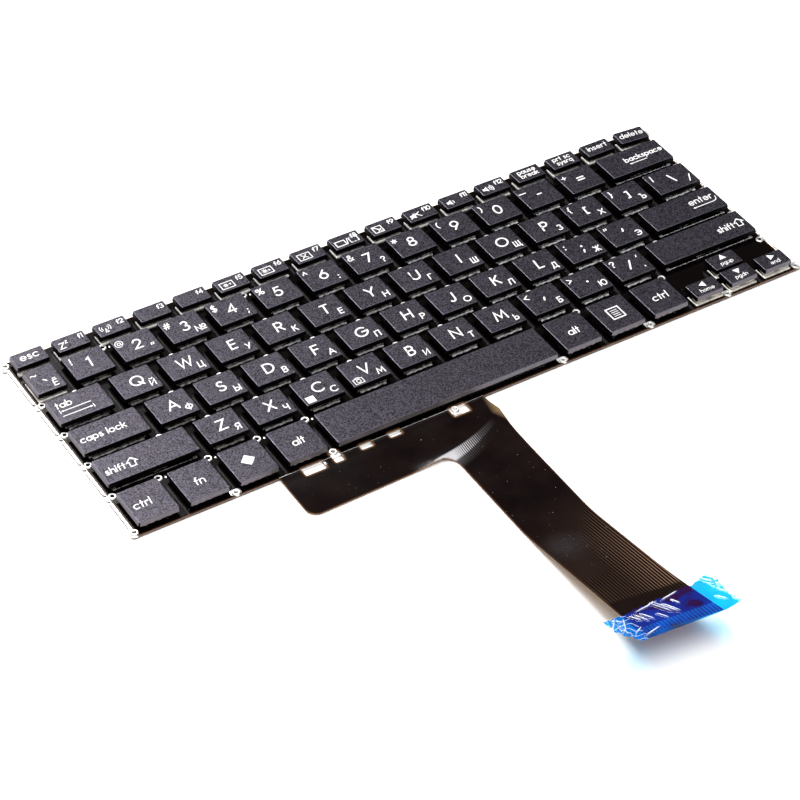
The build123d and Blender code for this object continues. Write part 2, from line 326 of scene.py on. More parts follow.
# Painted shade and light: the nylon runs from a dark mottle at the left of the board to a pale one at the
# right.
shaded_mottle = ramp(tree, noise(tree, 700.0, 3.0), (0.42, (0.035, 0.034, 0.034)), (0.56, (0.30, 0.295, 0.29)))
lit_pale = ramp(tree, noise(tree, 900.0, 3.0), (0.39, (0.22, 0.22, 0.22)), (0.50, (0.91, 0.91, 0.94)))
to_right = spread_of(tree, across, 0.1, 1, -0.10, 0.06)
plug(tree, blend_of(tree, to_right, shaded_mottle, lit_pale), shader, "Base Color")
bumped(tree, shader, noise(tree, 1200.0), 0.4, 0.0002)
print("metal, nylon and rubber finishes ready")

# %% [markdown]
# ## Key plan
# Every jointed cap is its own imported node, so its box gives its place. The two upper rows share one node of
# separate solids. Merging that node's split points lets a search find each solid, and sorting the boxes
# from left to right names them. From then on every key is handled alike, with its body and its joint.

# %% Key plan
class Key(namedtuple("Key", "name left front right back rim top body joint")):
    """A key's place, in millimetres, with its body and its joint."""

    @property
    def middle(self):
        return (self.left + self.right) / 2, (self.front + self.back) / 2

    @property
    def size(self):
        return self.right - self.left, self.back - self.front


FUNCTION_NAMES = ["escape", *[f"f{i}" for i in range(1, 13)], "pause", "print", "insert", "delete"]
NUMBER_NAMES = ["grave", *[f"digit_{i % 10}" for i in range(1, 11)], "minus", "equals", "backspace"]
FULL_HEIGHT = 10


def solid_boxes(node_name):
    """The boxes of a node's separate solids, in millimetres."""
    form = bmesh.new()
    form.from_mesh(frame["nodes"][node_name].data)
    bmesh.ops.remove_doubles(form, verts=form.verts, dist=1e-6)
    unseen = set(form.verts)
    boxes = []
    while unseen:
        queue = [unseen.pop()]
        points = []
        while queue:
            vert = queue.pop()
            points.append(vert.co / MM)
            for edge in vert.link_edges:
                other = edge.other_vert(vert)
                if other in unseen:
                    unseen.remove(other)
                    queue.append(other)
        boxes.append((np.min(points, 0), np.max(points, 0)))
    form.free()
    return boxes


def key_from(name, low, high, body, joint):
    """A key's record from its box."""
    return Key(name, low[0], low[1], high[0], high[1], low[2], high[2], body, joint)


upper = sorted(solid_boxes("upper_rows_keycaps"), key=lambda box: box[0][0])
function_boxes = [box for box in upper if box[1][1] - box[0][1] < FULL_HEIGHT]
number_boxes = [box for box in upper if box[1][1] - box[0][1] >= FULL_HEIGHT]
keys = [key_from(n, *box, "board", None) for n, box in zip(FUNCTION_NAMES, function_boxes)]
keys += [key_from(n, *box, "board", None) for n, box in zip(NUMBER_NAMES, number_boxes)]
cap_top = keys[0].top
for joint in frame["joints"]:
    name = joint["name"].removeprefix("press_")
    low, high = (np.array(corner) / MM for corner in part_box("key_" + name))
    high[2] = cap_top
    keys.append(key_from(name, low, high, joint["child"], joint["name"]))
key_named = {key.name: key for key in keys}
cap_rim = keys[0].rim
film_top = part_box("rubber_domes")[0].z / MM
print("keys:", len(keys), "rim", round(cap_rim, 2), "top", round(cap_top, 2), "film", round(film_top, 2))

# %% [markdown]
# ## Making a piece
# A piece is gathered from simple forms: skins lofted over loops, flat strips, prisms. Each form adds its
# points and faces to one list, and the list becomes one mesh that rides on a body. Edges sharper than a set
# angle stay crisp while the rest is shaded smooth, which is how a moulded or stamped part looks.

# %% Helpers for pieces
class Form:
    """Points and faces gathered from simple forms, each face with the number of its finish."""

    def __init__(self):
        self.points, self.faces, self.marks = [], [], []

    def add(self, points, faces, mark=0):
        start = len(self.points)
        self.points += [tuple(p) for p in points]
        self.faces += [[i + start for i in face] for face in faces]
        self.marks += [mark] * len(faces)
        return self


def make_piece(name, form, finishes, body, crisp=35):
    """One mesh object from a form, riding on a body."""
    mesh = bpy.data.meshes.new(name)
    mesh.from_pydata([Vector(p) * MM for p in form.points], [], form.faces)
    for finish in finishes:
        mesh.materials.append(finish)
    mesh.polygons.foreach_set("material_index", form.marks)
    mesh.polygons.foreach_set("use_smooth", [True] * len(form.faces))
    mesh.set_sharp_from_angle(angle=radians(crisp))
    made = bpy.data.objects.new(name, mesh)
    bpy.context.scene.collection.objects.link(made)
    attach(made, body)
    return made


def rounded(left, front, right, back, radius, z, steps=4):
    """A level loop: a rectangle with round corners."""
    corners = ((right - radius, back - radius), (left + radius, back - radius),
               (left + radius, front + radius), (right - radius, front + radius))
    loop = []
    for quarter, (x, y) in enumerate(corners):
        for step in range(steps + 1):
            angle = pi / 2 * (quarter + step / steps)
            loop.append((x + radius * cos(angle), y + radius * sin(angle), z))
    return loop


def loft(loops, ends=True):
    """A skin over loops of equal length, closed at both ends."""
    count = len(loops[0])
    faces = []
    for i in range(len(loops) - 1):
        for j in range(count):
            k = (j + 1) % count
            faces.append([i * count + j, i * count + k, (i + 1) * count + k, (i + 1) * count + j])
    if ends:
        faces.append(list(range(count))[::-1])
        faces.append([(len(loops) - 1) * count + j for j in range(count)])
    return [p for loop in loops for p in loop], faces


print("piece helpers ready")

# %% [markdown]
# ## Keycaps
# A cap is a shallow hollow lid. Its sides lean in, its top edge is rounded by a sixth of a millimetre and
# its corners by more. A bevelled box could do, but one loft gives all of it: the loop starts at the
# ceiling inside, comes down the inner wall, turns round the rim, climbs the skirt and rolls over the edge
# to the top. Light and shade are painted onto the cap with copies of its plastic. The rounded edge gets a
# lighter, glossier copy as a painted highlight. The sides that face a neighbour get a near-black copy as
# painted shade, and the sides that look out over the table get a lighter copy as painted light from the
# table. The two keys under the resting forefingers carry a low ridge to be found by touch.

# %% Keycaps
CAP_WALL = 0.6
CAP_CEILING = 0.9
CAP_LEAN = 0.27
CAP_CORNER = 0.5
EDGE_ROUND = 0.17
EDGE_STEPS = 4
RIDGE = (3.0, 0.5, 0.25)
RIDGE_PLACE = 2.2
SKIRT = 3
LOOP_SIDES = {"back": 4, "left": 9, "front": 14, "right": 19}


def cap_loop(key, inset, z):
    """One loop of a cap, with corners that tighten as it shrinks."""
    corner = max(0.2, CAP_CORNER - 0.5 * inset)
    return rounded(key.left + inset, key.front + inset, key.right - inset, key.back - inset, corner, z)


block_edges = {side: furthest(getattr(key, side) for key in keys)
               for side, furthest in (("left", min), ("front", min), ("right", max), ("back", max))}


def outward_sides(key):
    """The sides of a cap that look out over the table and not at a neighbour."""
    return [side for side, edge in block_edges.items() if abs(getattr(key, side) - edge) < 1]


def cap_form(key):
    """The whole skin of a cap."""
    height = key.top - key.rim
    shoulder = CAP_LEAN * (height - EDGE_ROUND) / height
    loops = [cap_loop(key, CAP_WALL + 0.1, key.top - CAP_CEILING), cap_loop(key, CAP_WALL, key.rim)]
    loops += [cap_loop(key, 0.1, key.rim), cap_loop(key, 0.0, key.rim + 0.1)]
    for step in range(EDGE_STEPS + 1):
        angle = pi / 2 * step / EDGE_STEPS
        inset = shoulder + EDGE_ROUND * (1 - cos(angle))
        loops.append(cap_loop(key, inset, key.top - EDGE_ROUND * (1 - sin(angle))))
    loops.append(cap_loop(key, shoulder + EDGE_ROUND + 0.15, key.top))
    form = Form().add(*loft(loops))
    ring_faces = len(loops[0])
    # Inner wall, rim and skirt take the painted shade copy and the rounded edge takes the painted highlight
    # copy; outward skirts take the copy lit by the table.
    form.marks = [2] * 4 * ring_faces + [1] * EDGE_STEPS * ring_faces + [0] * ring_faces + [2, 0]
    for side in outward_sides(key):
        form.marks[SKIRT * ring_faces + LOOP_SIDES[side]] = 3
    return form


def ridge_form(key):
    """The low bar on a resting key."""
    length, width, height = RIDGE
    x, y = key.middle[0], key.front + RIDGE_PLACE
    loops = []
    for inset, z in ((0, -0.05), (0, 0.5 * height), (0.08, 0.85 * height), (0.18, height)):
        loops.append(rounded(x - length / 2 + inset, y - width / 2 + inset, x + length / 2 - inset,
                             y + width / 2 - inset, width / 2 - inset - 0.01, key.top + z))
    return loft(loops)


LOOSE = {"delete": -4.5}


def turned_flat(points, key):
    """Points of a cap or its print, turned about the cap's middle where the cap sits loose."""
    angle = radians(LOOSE.get(key.name, 0))
    x, y = key.middle
    c, s = cos(angle), sin(angle)
    return [(x + (px - x) * c - (py - y) * s, y + (px - x) * s + (py - y) * c, pz) for px, py, pz in points]


for key in keys:
    form = cap_form(key)
    form.points = turned_flat(form.points, key)
    if key.name in ("f", "j"):
        form.add(*ridge_form(key))
    finishes = [cap_plastic, cap_edge, cap_side, cap_outside]
    cap = make_piece("cap_" + key.name, form, finishes, key.body)
    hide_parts("key_" + key.name if key.joint else "upper_rows_keycaps")
print("caps:", len(keys))

# %% [markdown]
# ## Letters as strokes
# The legends are thin, round and even, as if drawn with one pen, and lean a little. A font could be loaded,
# but a pen is closer to the real print and needs no file: each sign is a few paths on a grid ten units
# high, made of straight runs and arcs. A path becomes a flat ribbon with round ends, a hair above the cap.

# %% Pen and paths
SLANT = tan(radians(6))
INK_LIFT = 0.012
INK_STEP = 0.004


def arc(x, y, across, up, start, end):
    """Points of an arc, with angles in degrees."""
    steps = max(4, round(abs(end - start) / 18))
    turns = [radians(start + (end - start) * i / steps) for i in range(steps + 1)]
    return [(x + across * cos(t), y + up * sin(t)) for t in turns]


def ring(x, y, across, up=None):
    """A closed round path."""
    return arc(x, y, across, across if up is None else up, 0, 360)


def ribbon(path, half):
    """A flat strip of even width along a path, with round ends unless the path is closed."""
    closed = hypot(path[0][0] - path[-1][0], path[0][1] - path[-1][1]) < 1e-6
    run = path[:-1] if closed else path
    points, faces = [], []
    count = len(run)
    for i, (x, y) in enumerate(run):
        before = run[i - 1] if closed or i else None
        after = run[(i + 1) % count] if closed or i < count - 1 else None
        steps = [Vector((b[0] - a[0], b[1] - a[1])).normalized()
                 for a, b in ((before, (x, y)), ((x, y), after)) if a and b]
        along = sum(steps, Vector((0, 0)))
        along = along.normalized() if along.length > 1e-6 else steps[0]
        reach = half / max(0.45, along.dot(steps[0]))
        points += [(x - along.y * reach, y + along.x * reach), (x + along.y * reach, y - along.x * reach)]
    for i in range(count if closed else count - 1):
        k = (i + 1) % count
        faces.append([2 * i, 2 * i + 1, 2 * k + 1, 2 * k])
    if not closed:
        for end, other in ((0, 1), (count - 1, count - 2)):
            out = Vector((run[end][0] - run[other][0], run[end][1] - run[other][1])).normalized()
            side = Vector((-out.y, out.x))
            start = len(points)
            for step in range(5):
                angle = pi * step / 4
                spot = Vector(run[end]) + half * (cos(angle) * side + sin(angle) * out)
                points.append((spot.x, spot.y))
            faces.append([start + 4 - step for step in range(5)])
    return points, faces


print("pen ready, slant", round(SLANT, 3))

# %% [markdown]
# The alphabet is drawn once. A sign is its width and then its paths. Small letters sit on the same grid,
# with their round parts six units high. Letters that two alphabets share are drawn only once.

# %% Capitals and figures
BOWL = ring(2.9, 3.1, 2.9, 3.1)
P_BOWL = [(0, 10), (3, 10), *arc(3, 7.3, 2.7, 2.7, 90, -90), (0, 4.6)]
SOFT_BOWL = [*arc(2.7, 2.8, 2.8, 2.8, -90, 90), (0, 5.6)]
N_ARCH = [(0, 3.7), *arc(2.5, 3.7, 2.5, 2.5, 180, 0), (5, 0)]
S_CURVE = [*arc(2.9, 7.5, 2.4, 2.5, 35, 270), *arc(2.9, 2.5, 2.9, 2.5, 90, -150)]
small_s = [(x * 0.66, y * 0.62) for x, y in S_CURVE]

signs = {
    "A": (8.4, [(0, 0), (4.2, 10), (8.4, 0)], [(1.5, 3.4), (6.9, 3.4)]),
    "B": (5.6, [(0, 0), (0, 10), (2.9, 10), *arc(2.9, 7.6, 2.4, 2.4, 90, -90), (0, 5.2)],
          [(2.9, 5.2), *arc(3, 2.6, 2.6, 2.6, 90, -90), (0, 0)]),
    "C": (8.6, arc(5, 5, 5, 5, 48, 312)),
    "D": (7.6, [(0, 0), (0, 10), (2.6, 10), *arc(2.6, 5, 5, 5, 90, -90), (0, 0)]),
    "E": (5, [(5, 10), (0, 10), (0, 0), (5, 0)], [(0, 5.2), (4.6, 5.2)]),
    "F": (5, [(5, 10), (0, 10), (0, 0)], [(0, 5.2), (4.4, 5.2)]),
    "G": (10, [*arc(5, 5, 5, 5, 48, 360), (5.4, 5)]),
    "H": (7, [(0, 0), (0, 10)], [(7, 0), (7, 10)], [(0, 5.2), (7, 5.2)]),
    "I": (0, [(0, 0), (0, 10)]),
    "J": (4, [(4, 10), (4, 2.6), *arc(1.8, 2.5, 2.2, 2.5, -15, -150)]),
    "K": (6, [(0, 0), (0, 10)], [(5.6, 10), (0, 4.4)], [(1.9, 6.2), (6, 0)]),
    "L": (4.8, [(0, 10), (0, 0), (4.8, 0)]),
    "M": (10, [(0, 0), (1.4, 10), (5, 2.4), (8.6, 10), (10, 0)]),
    "N": (7.6, [(0, 0), (0, 10), (7.6, 0), (7.6, 10)]),
    "O": (10, ring(5, 5, 5)),
    "P": (5.7, [(0, 0), *P_BOWL]),
    "Q": (10, ring(5, 5, 5), [(6, 3.2), (9.6, -0.6)]),
    "R": (6, [(0, 0), *P_BOWL], [(2.6, 4.6), (6, 0)]),
    "S": (5.8, S_CURVE),
    "T": (6, [(0, 10), (6, 10)], [(3, 10), (3, 0)]),
    "U": (7, [(0, 10), (0, 3.4), *arc(3.5, 3.4, 3.5, 3.4, 180, 360), (7, 10)]),
    "V": (8, [(0, 10), (4, 0), (8, 10)]),
    "W": (12, [(0, 10), (3, 0), (6, 9.4), (9, 0), (12, 10)]),
    "X": (7, [(0, 0), (7, 10)], [(0, 10), (7, 0)]),
    "Y": (7.4, [(0, 10), (3.7, 4.8), (7.4, 10)], [(3.7, 4.8), (3.7, 0)]),
    "Z": (7, [(0.3, 10), (6.6, 10), (0, 0), (7, 0)]),
    "0": (6.4, ring(3.2, 5, 3.2, 5)),
    "1": (2, [(0, 8.4), (2, 10), (2, 0)]),
    "2": (6.2, [*arc(3, 7, 3, 3, 165, -38), (0, 0), (6.2, 0)]),
    "3": (5.7, [*arc(2.7, 7.5, 2.4, 2.5, 150, -90), *arc(2.7, 2.5, 3, 2.5, 90, -150)]),
    "4": (6.6, [(4.8, 0), (4.8, 10), (0, 2.8), (6.6, 2.8)]),
    "5": (6, [(5.4, 10), (1.3, 10), (0.6, 5.3), *arc(2.9, 3.1, 3.1, 3.1, 128, -150)]),
    "6": (6.4, ring(3.2, 3.2, 3.2), [(4.9, 10), (0.5, 4.6)]),
    "7": (6, [(0, 10), (6, 10), (1.8, 0)]),
    "8": (6.2, ring(3.1, 7.6, 2.4), ring(3.1, 2.6, 3.1, 2.6)),
    "9": (6.4, ring(3.2, 6.8, 3.2), [(1.5, 0), (5.9, 5.4)]),
}
print("capitals and figures:", len(signs))

# %% Small letters
signs |= {
    "a": (5.8, BOWL, [(5.8, 6.2), (5.8, 0)]),
    "b": (5.8, BOWL, [(0, 10), (0, 0)]),
    "c": (5.4, arc(3.1, 3.1, 3.1, 3.1, 48, 312)),
    "d": (5.8, BOWL, [(5.8, 10), (5.8, 0)]),
    "e": (6.1, [(0.1, 3.1), *arc(3.1, 3.1, 3, 3.1, 0, 315)]),
    "f": (3.2, [(3.2, 9.9), (2.2, 9.7), (1.5, 8.7), (1.4, 7.6), (1.4, 0)], [(0, 6), (3.1, 6)]),
    "g": (5.8, BOWL, [(5.8, 6.2), (5.8, -0.6), *arc(3, -0.7, 2.8, 2.3, -10, -150)]),
    "h": (5, [(0, 10), (0, 0)], N_ARCH),
    "i": (0, [(0, 6.2), (0, 0)], [(0, 8.9), (0, 9.1)]),
    "k": (4.8, [(0, 10), (0, 0)], [(4.4, 6.2), (0, 2.5)], [(1.6, 3.7), (4.8, 0)]),
    "l": (0, [(0, 10), (0, 0)]),
    "m": (8.6, [(0, 6.2), (0, 0)], [(0, 4), *arc(2.15, 4, 2.15, 2.2, 180, 0), (4.3, 0)],
          [(4.3, 4), *arc(6.45, 4, 2.15, 2.2, 180, 0), (8.6, 0)]),
    "n": (5, [(0, 6.2), (0, 0)], N_ARCH),
    "o": (6.2, ring(3.1, 3.1, 3.1)),
    "p": (5.8, BOWL, [(0, 6.2), (0, -3)]),
    "q": (5.8, BOWL, [(5.8, 6.2), (5.8, -3)]),
    "r": (3.4, [(0, 6.2), (0, 0)], [(0, 3.7), *arc(2.5, 3.8, 2.5, 2.4, 180, 65)]),
    "s": (3.8, small_s),
    "t": (3, [(1.4, 9.2), (1.4, 0)], [(0, 6.2), (3, 6.2)]),
    "u": (5, [(0, 6.2), (0, 2.5), *arc(2.5, 2.5, 2.5, 2.5, 180, 360), (5, 6.2)], [(5, 3), (5, 0)]),
    "y": (5.4, [(0, 6.2), (2.7, 0)], [(5.4, 6.2), (1.4, -3)]),
    " ": (2.2,),
}
print("with small letters:", len(signs))

# %% Letters of the second alphabet
signs |= {
    "Й": (6.4, [(0, 10), (0, 0), (6.4, 10), (6.4, 0)], arc(3.2, 13.4, 1.9, 1.4, 180, 360)),
    "Ц": (7.2, [(0, 10), (0, 0), (7.2, 0), (7.2, -2.4)], [(5.9, 10), (5.9, 0)]),
    "У": (6.4, [(0, 10), (3.3, 3.8)], [(6.4, 10), (2, 0)]),
    "Г": (4.4, [(0, 0), (0, 10), (4.4, 10)]),
    "Ш": (8.4, [(0, 10), (0, 0), (8.4, 0), (8.4, 10)], [(4.2, 10), (4.2, 0)]),
    "Щ": (9.6, [(0, 10), (0, 0), (9.6, 0), (9.6, -2.4)], [(4.1, 10), (4.1, 0)], [(8.2, 10), (8.2, 0)]),
    "Ъ": (7.8, [(0, 10), (2.4, 10), (2.4, 0), *[(x + 2.4, y) for x, y in SOFT_BOWL]]),
    "Ф": (8.8, ring(4.4, 5, 4.4, 3.5), [(4.4, 11), (4.4, -1)]),
    "Ы": (7.4, [(0, 10), (0, 0), *SOFT_BOWL], [(7.4, 10), (7.4, 0)]),
    "П": (6.2, [(0, 0), (0, 10), (6.2, 10), (6.2, 0)]),
    "Л": (6.4, [(0, 0), (1.4, 10), (6.4, 10), (6.4, 0)]),
    "Д": (7.8, [(1.2, 0), (2.4, 10), (6.6, 10), (6.6, 0)], [(0, -2.2), (0, 0), (7.8, 0), (7.8, -2.2)]),
    "Ж": (8.8, [(4.4, 0), (4.4, 10)], [(0, 10), (8.8, 0)], [(0, 0), (8.8, 10)]),
    "Э": (7.4, arc(2.8, 5, 4.6, 5, 130, -130), [(2.2, 5.1), (7.2, 5.1)]),
    "Я": (5.7, [(5.7, 0), *[(5.7 - x, y) for x, y in P_BOWL]], [(3.1, 4.6), (0, 0)]),
    "Ч": (5.6, [(0, 10), (0, 6.6), (0.6, 5.3), (2, 4.7), (5.6, 4.7)], [(5.6, 10), (5.6, 0)]),
    "И": (6.4, [(0, 10), (0, 0), (6.4, 10), (6.4, 0)]),
    "Ь": (5.5, [(0, 10), (0, 0), *SOFT_BOWL]),
    "Б": (5.5, [(5, 10), (0, 10), (0, 0), *SOFT_BOWL]),
    "Ю": (10, [(0, 0), (0, 10)], [(0, 5.1), (2.6, 5.1)], ring(6.3, 5, 3.7, 5)),
    "Ё": (5, [(5, 10), (0, 10), (0, 0), (5, 0)], [(0, 5.2), (4.6, 5.2)], [(1.3, 12.8), (1.3, 13)],
          [(3.7, 12.8), (3.7, 13)]),
    "№": (13.6, [(0, 0), (0, 10), (6.6, 0), (6.6, 10)], ring(11, 6.6, 2.4, 3), [(8.6, 0.8), (13.4, 0.8)]),
}
print("with the second alphabet:", len(signs))

# %% Marks
signs |= {
    "!": (0, [(0, 10), (0, 3.4)], [(0, 0.3), (0, 0.5)]),
    "@": (10.4, [*arc(5.2, 4.8, 5.2, 5.4, -50, -350), *arc(8.7, 4.4, 1.6, 2, 0, -140)], ring(5.2, 4.9, 2.2)),
    "#": (7.4, [(1.4, 0), (3, 10)], [(4.6, 0), (6.2, 10)], [(0, 3.4), (6.8, 3.4)], [(0.6, 6.8), (7.4, 6.8)]),
    "$": (5.8, S_CURVE, [(2.9, 11.4), (2.9, -1.4)]),
    "%": (8.8, ring(2, 7.8, 2), ring(6.8, 2.2, 2), [(7.4, 10), (1.6, 0)]),
    "^": (5, [(0, 5), (2.5, 10), (5, 5)]),
    "&": (7.4, [(7, 0), (1.6, 7), *arc(3, 8, 1.7, 1.9, 200, -40), (1.2, 4.4),
                *arc(2.8, 2.5, 2.6, 2.5, 140, 320), (7.2, 4.6)]),
    "*": (6, [(3, 2), (3, 9)], [(0, 3.6), (6, 7.4)], [(0, 7.4), (6, 3.6)]),
    "(": (2, arc(4.4, 5, 4.4, 6.2, 120, 240)),
    ")": (2, arc(-2.2, 5, 4.4, 6.2, -60, 60)),
    "_": (9.6, [(0, 5), (9.6, 5)]),
    "-": (3.6, [(0, 5), (3.6, 5)]),
    "+": (6, [(0, 5), (6, 5)], [(3, 2), (3, 8)]),
    "=": (6, [(0, 3.6), (6, 3.6)], [(0, 6.6), (6, 6.6)]),
    "{": (2.6, [(2.6, 10.6), (1.4, 9.8), (1.4, 6.2), (0, 5), (1.4, 3.8), (1.4, 0.2), (2.6, -0.6)]),
    "}": (2.6, [(0, 10.6), (1.2, 9.8), (1.2, 6.2), (2.6, 5), (1.2, 3.8), (1.2, 0.2), (0, -0.6)]),
    "[": (1.9, [(1.9, 9), (0, 9), (0, 0.8), (1.9, 0.8)]),
    "]": (1.9, [(0, 9), (1.9, 9), (1.9, 0.8), (0, 0.8)]),
    "|": (0, [(0, 10.6), (0, 0)]),
    "\\": (4, [(0, 9.6), (4, 0)]),
    "/": (4, [(4, 9.6), (0, 0)]),
    ":": (0, [(0, 6), (0, 6.2)], [(0, 0.6), (0, 0.8)]),
    ";": (1, [(1, 6), (1, 6.2)], [(1, 1.2), (0, -1.4)]),
    '"': (3.4, [(0.6, 10), (0, 6.8)], [(3.4, 10), (2.8, 6.8)]),
    "'": (1, [(1, 8), (0, 5)]),
    "<": (5, [(5, 9), (0, 5.4), (5, 1.8)]),
    ">": (5, [(0, 9), (5, 5.4), (0, 1.8)]),
    ",": (1.2, [(1.2, 6), (0, 3)]),
    ".": (0, [(0, 4.6), (0, 4.9)]),
    "?": (5, [*arc(2.5, 7.5, 2.5, 2.5, 170, -50), (2.5, 4.4), (2.5, 3)], [(2.5, 0.2), (2.5, 0.4)]),
    "~": (6.6, [(0, 4.4), *arc(1.7, 4.6, 1.7, 1.3, 150, 20), *arc(4.9, 5.2, 1.7, 1.3, 200, 330), (6.6, 5.6)]),
    "`": (2.2, [(0, 6.4), (2.2, 4.4)]),
}
print("signs in all:", len(signs))

# %% [markdown]
# ## Legends
# A letter key carries its letter in the middle and the letter of the second alphabet small at the front
# right. Keys with a shifted sign carry it at the back left. Words sit at one side of the wide keys. Each
# legend is placed by its middle, from the middle of the cap, with the sizes and places read off the real
# print.

# %% Where legends go
SPACING = 2.2
MAIN = (4.35, 0.32, 0.4, 0.2)
SECOND = (2.65, 0.225, 4.8, -3.05)
SHIFTED = (2.9, 0.225, -5.1, 3.05)


class Legend:
    """Paths and filled shapes of one cap's print, in millimetres from the cap's middle."""

    def __init__(self):
        self.form = Form()
        self.height = 0.0

    def lay(self, points, faces):
        """One layer of ink, a hair above the one before, so that crossing strokes never share a plane."""
        self.form.add([(x, y, self.height) for x, y in points], faces)
        self.height += INK_STEP
        return self

    def path(self, points, half):
        return self.lay(*ribbon(points, half))

    def fill(self, points):
        return self.lay(points, [list(range(len(points)))])

    def text(self, words, size, half, x, y, side="middle"):
        """Words by their middle, or by their left or right end; y is the middle of a capital."""
        scale = size / 10
        wide = sum(signs[c][0] + SPACING for c in words) - SPACING
        pen = x - {"left": 0, "middle": wide / 2, "right": wide}[side] * scale
        for c in words:
            for path in signs[c][1:]:
                spots = [(pen + (px + SLANT * (py - 5)) * scale, y + (py - 5) * scale) for px, py in path]
                dot = len(path) == 2 and abs(path[0][1] - path[1][1]) + abs(path[0][0] - path[1][0]) < 0.4
                self.path(spots, half * 1.4 if dot else half)
            pen += (signs[c][0] + SPACING) * scale
        return self


def three_signs(shifted, main, second):
    """The print of a usual key."""
    made = Legend()
    for sign, role in ((shifted, SHIFTED), (main, MAIN), (second, SECOND)):
        if sign.strip():
            made.text(sign, *role)
    return made


LETTERS = "qwertyuiopasdfghjklzxcvbnm"
SECOND_LETTERS = "ЙЦУKEHГШЩ3ФЫBAПPOЛДЯЧCMИTЬ"
SHIFT_KEYS = {
    "digit_1": "!1 ", "digit_2": ' 2"', "digit_3": "#3№", "digit_4": "$4;", "digit_5": "%5 ",
    "digit_6": "^6:", "digit_7": "&7?", "digit_8": "*8 ", "digit_9": "(9 ", "digit_0": ")0 ", "minus": "_- ",
    "equals": "+= ", "left_bracket": "{[X", "right_bracket": "}]Ъ", "backslash": " \\ ", "semicolon": ":;Ж",
    "apostrophe": "\"'Э", "comma": "<,Б", "period": ">.Ю", "slash": "?/.",
}
legends = {name: three_signs(" ", name.upper(), small) for name, small in zip(LETTERS, SECOND_LETTERS)}
legends |= {name: three_signs(*trio) for name, trio in SHIFT_KEYS.items()}
legends["grave"] = Legend().text("~", 2.9, 0.2, -2.8, 2.9).text("`", 4.35, 0.26, -0.2, -0.8)
legends["grave"].text("Ё", 2.75, 0.21, 2.5, -3.3)
legends["slash"].text(",", 2.9, 0.2, 5.0, 3.2)
legends["digit_2"].text("@", 2.75, 0.14, *SHIFTED[2:])
legends["backslash"].text("|", *SHIFTED[:2], -6.6, 3.05).text("/", 3.6, 0.23, 6.4, -2.6)
print("letter and sign legends:", len(legends))

# %% [markdown]
# Words and pictograms follow: plain arrows, boxes and loudspeakers. They are drawn with the same pen, and
# only arrow heads and a few blocks are filled. The mark of the system key is a plain lozenge.

# %% Word legends
WORD = (2.9, 0.21)
SMALL_WORD = (2.1, 0.17)
KEY_NUMBER = (2.0, 0.19)


def arrow(made, tail, head, half=0.17, size=0.9):
    """A straight arrow with a filled head."""
    a, b = Vector(tail), Vector(head)
    along = (b - a).normalized()
    side = Vector((-along.y, along.x)) * size * 0.55
    neck = b - along * size
    made.path([tuple(a), tuple(neck)], half)
    return made.fill([tuple(b), tuple(neck + side), tuple(neck - side)])


def box(left, bottom, right, top):
    """A closed rectangular path."""
    return [(left, bottom), (right, bottom), (right, top), (left, top), (left, bottom)]


def outline_arrow(made, x, y):
    """The hollow upward arrow beside the word on the shift keys."""
    half_path = [(0, 2.0), (1.95, 0.1), (1.0, 0.1), (1.0, -1.9)]
    path = half_path + [(-px, py) for px, py in half_path[::-1]]
    return made.path([(x + px + SLANT * py, y + py) for px, py in path + path[:1]], 0.19)


def from_left(name, inset):
    """The x of a spot that far from a key's left side, measured from the key's middle."""
    return inset - (key_named[name].right - key_named[name].left) / 2


tab = Legend().text("tab", *WORD, from_left("tab", 2.3), 2.3, "left")
tab_start = from_left("tab", 2.4)
arrow(tab, (tab_start + 11, -0.9), (tab_start + 0.3, -0.9)).path([(tab_start, -0.1), (tab_start, -1.7)], 0.15)
arrow(tab, (tab_start, -3.3), (tab_start + 10.9, -3.3))
tab.path([(tab_start + 11.2, -2.5), (tab_start + 11.2, -4.1)], 0.15)
legends["tab"] = tab
legends["caps_lock"] = Legend().text("caps lock", 2.85, 0.21, from_left("caps_lock", 1.8), 0.1, "left")
shift_x = from_left("left_shift", 1.8)
shift = Legend().text("shift", *WORD, shift_x, -0.75, "left")
legends["left_shift"] = outline_arrow(shift, shift_x + 9.6, -0.6)
shift_x = -from_left("right_shift", 6.0)
shift = Legend().text("shift", *WORD, shift_x, -0.2, "right")
legends["right_shift"] = outline_arrow(shift, shift_x + 2.6, 0.0)
enter_x = -from_left("enter", 0)
enter = Legend().text("enter", 3.1, 0.2, enter_x - 2.3, 1.4, "right")
legends["enter"] = arrow(enter, (enter_x - 3.2, -2.0), (enter_x - 12.6, -2.0))
enter.path([(enter_x - 3.2, -2.0), (enter_x - 2.3, -1.6), (enter_x - 1.7, -0.8), (enter_x - 1.5, 0.2)], 0.17)
back_x = -from_left("backspace", 0)
backspace = Legend().text("backspace", 2.45, 0.2, back_x - 1.2, 0.75, "right")
legends["backspace"] = arrow(backspace, (back_x - 9.4, -2.0), (back_x - 17.0, -2.0))
for name, word, x in (("left_ctrl", "ctrl", -2.3), ("fn", "fn", 0.2), ("left_alt", "alt", 0.3),
                      ("right_alt", "alt", 0.3), ("right_ctrl", "ctrl", 0.2)):
    legends[name] = Legend().text(word, 3.2, 0.22, x, -0.35)
legends["system"] = Legend().fill([(0, 2.6), (-2.6, 0), (0, -2.6), (2.6, 0)])
menu = Legend().path(box(-2.45, -2.75, 2.45, 2.75), 0.26)
for i in range(4):
    menu.path([(-1.3, 1.45 - i), (1.3, 1.45 - i)], 0.15)
legends["menu"] = menu
legends["c"].fill([(-6.2, -5.5), (-3.1, -5.5), (-3.1, -2.5), (-6.2, -2.5)])
legends["v"].path(box(-6.1, -5.4, -2.7, -3.0), 0.14).path(ring(-4.4, -4.2, 0.75), 0.14)
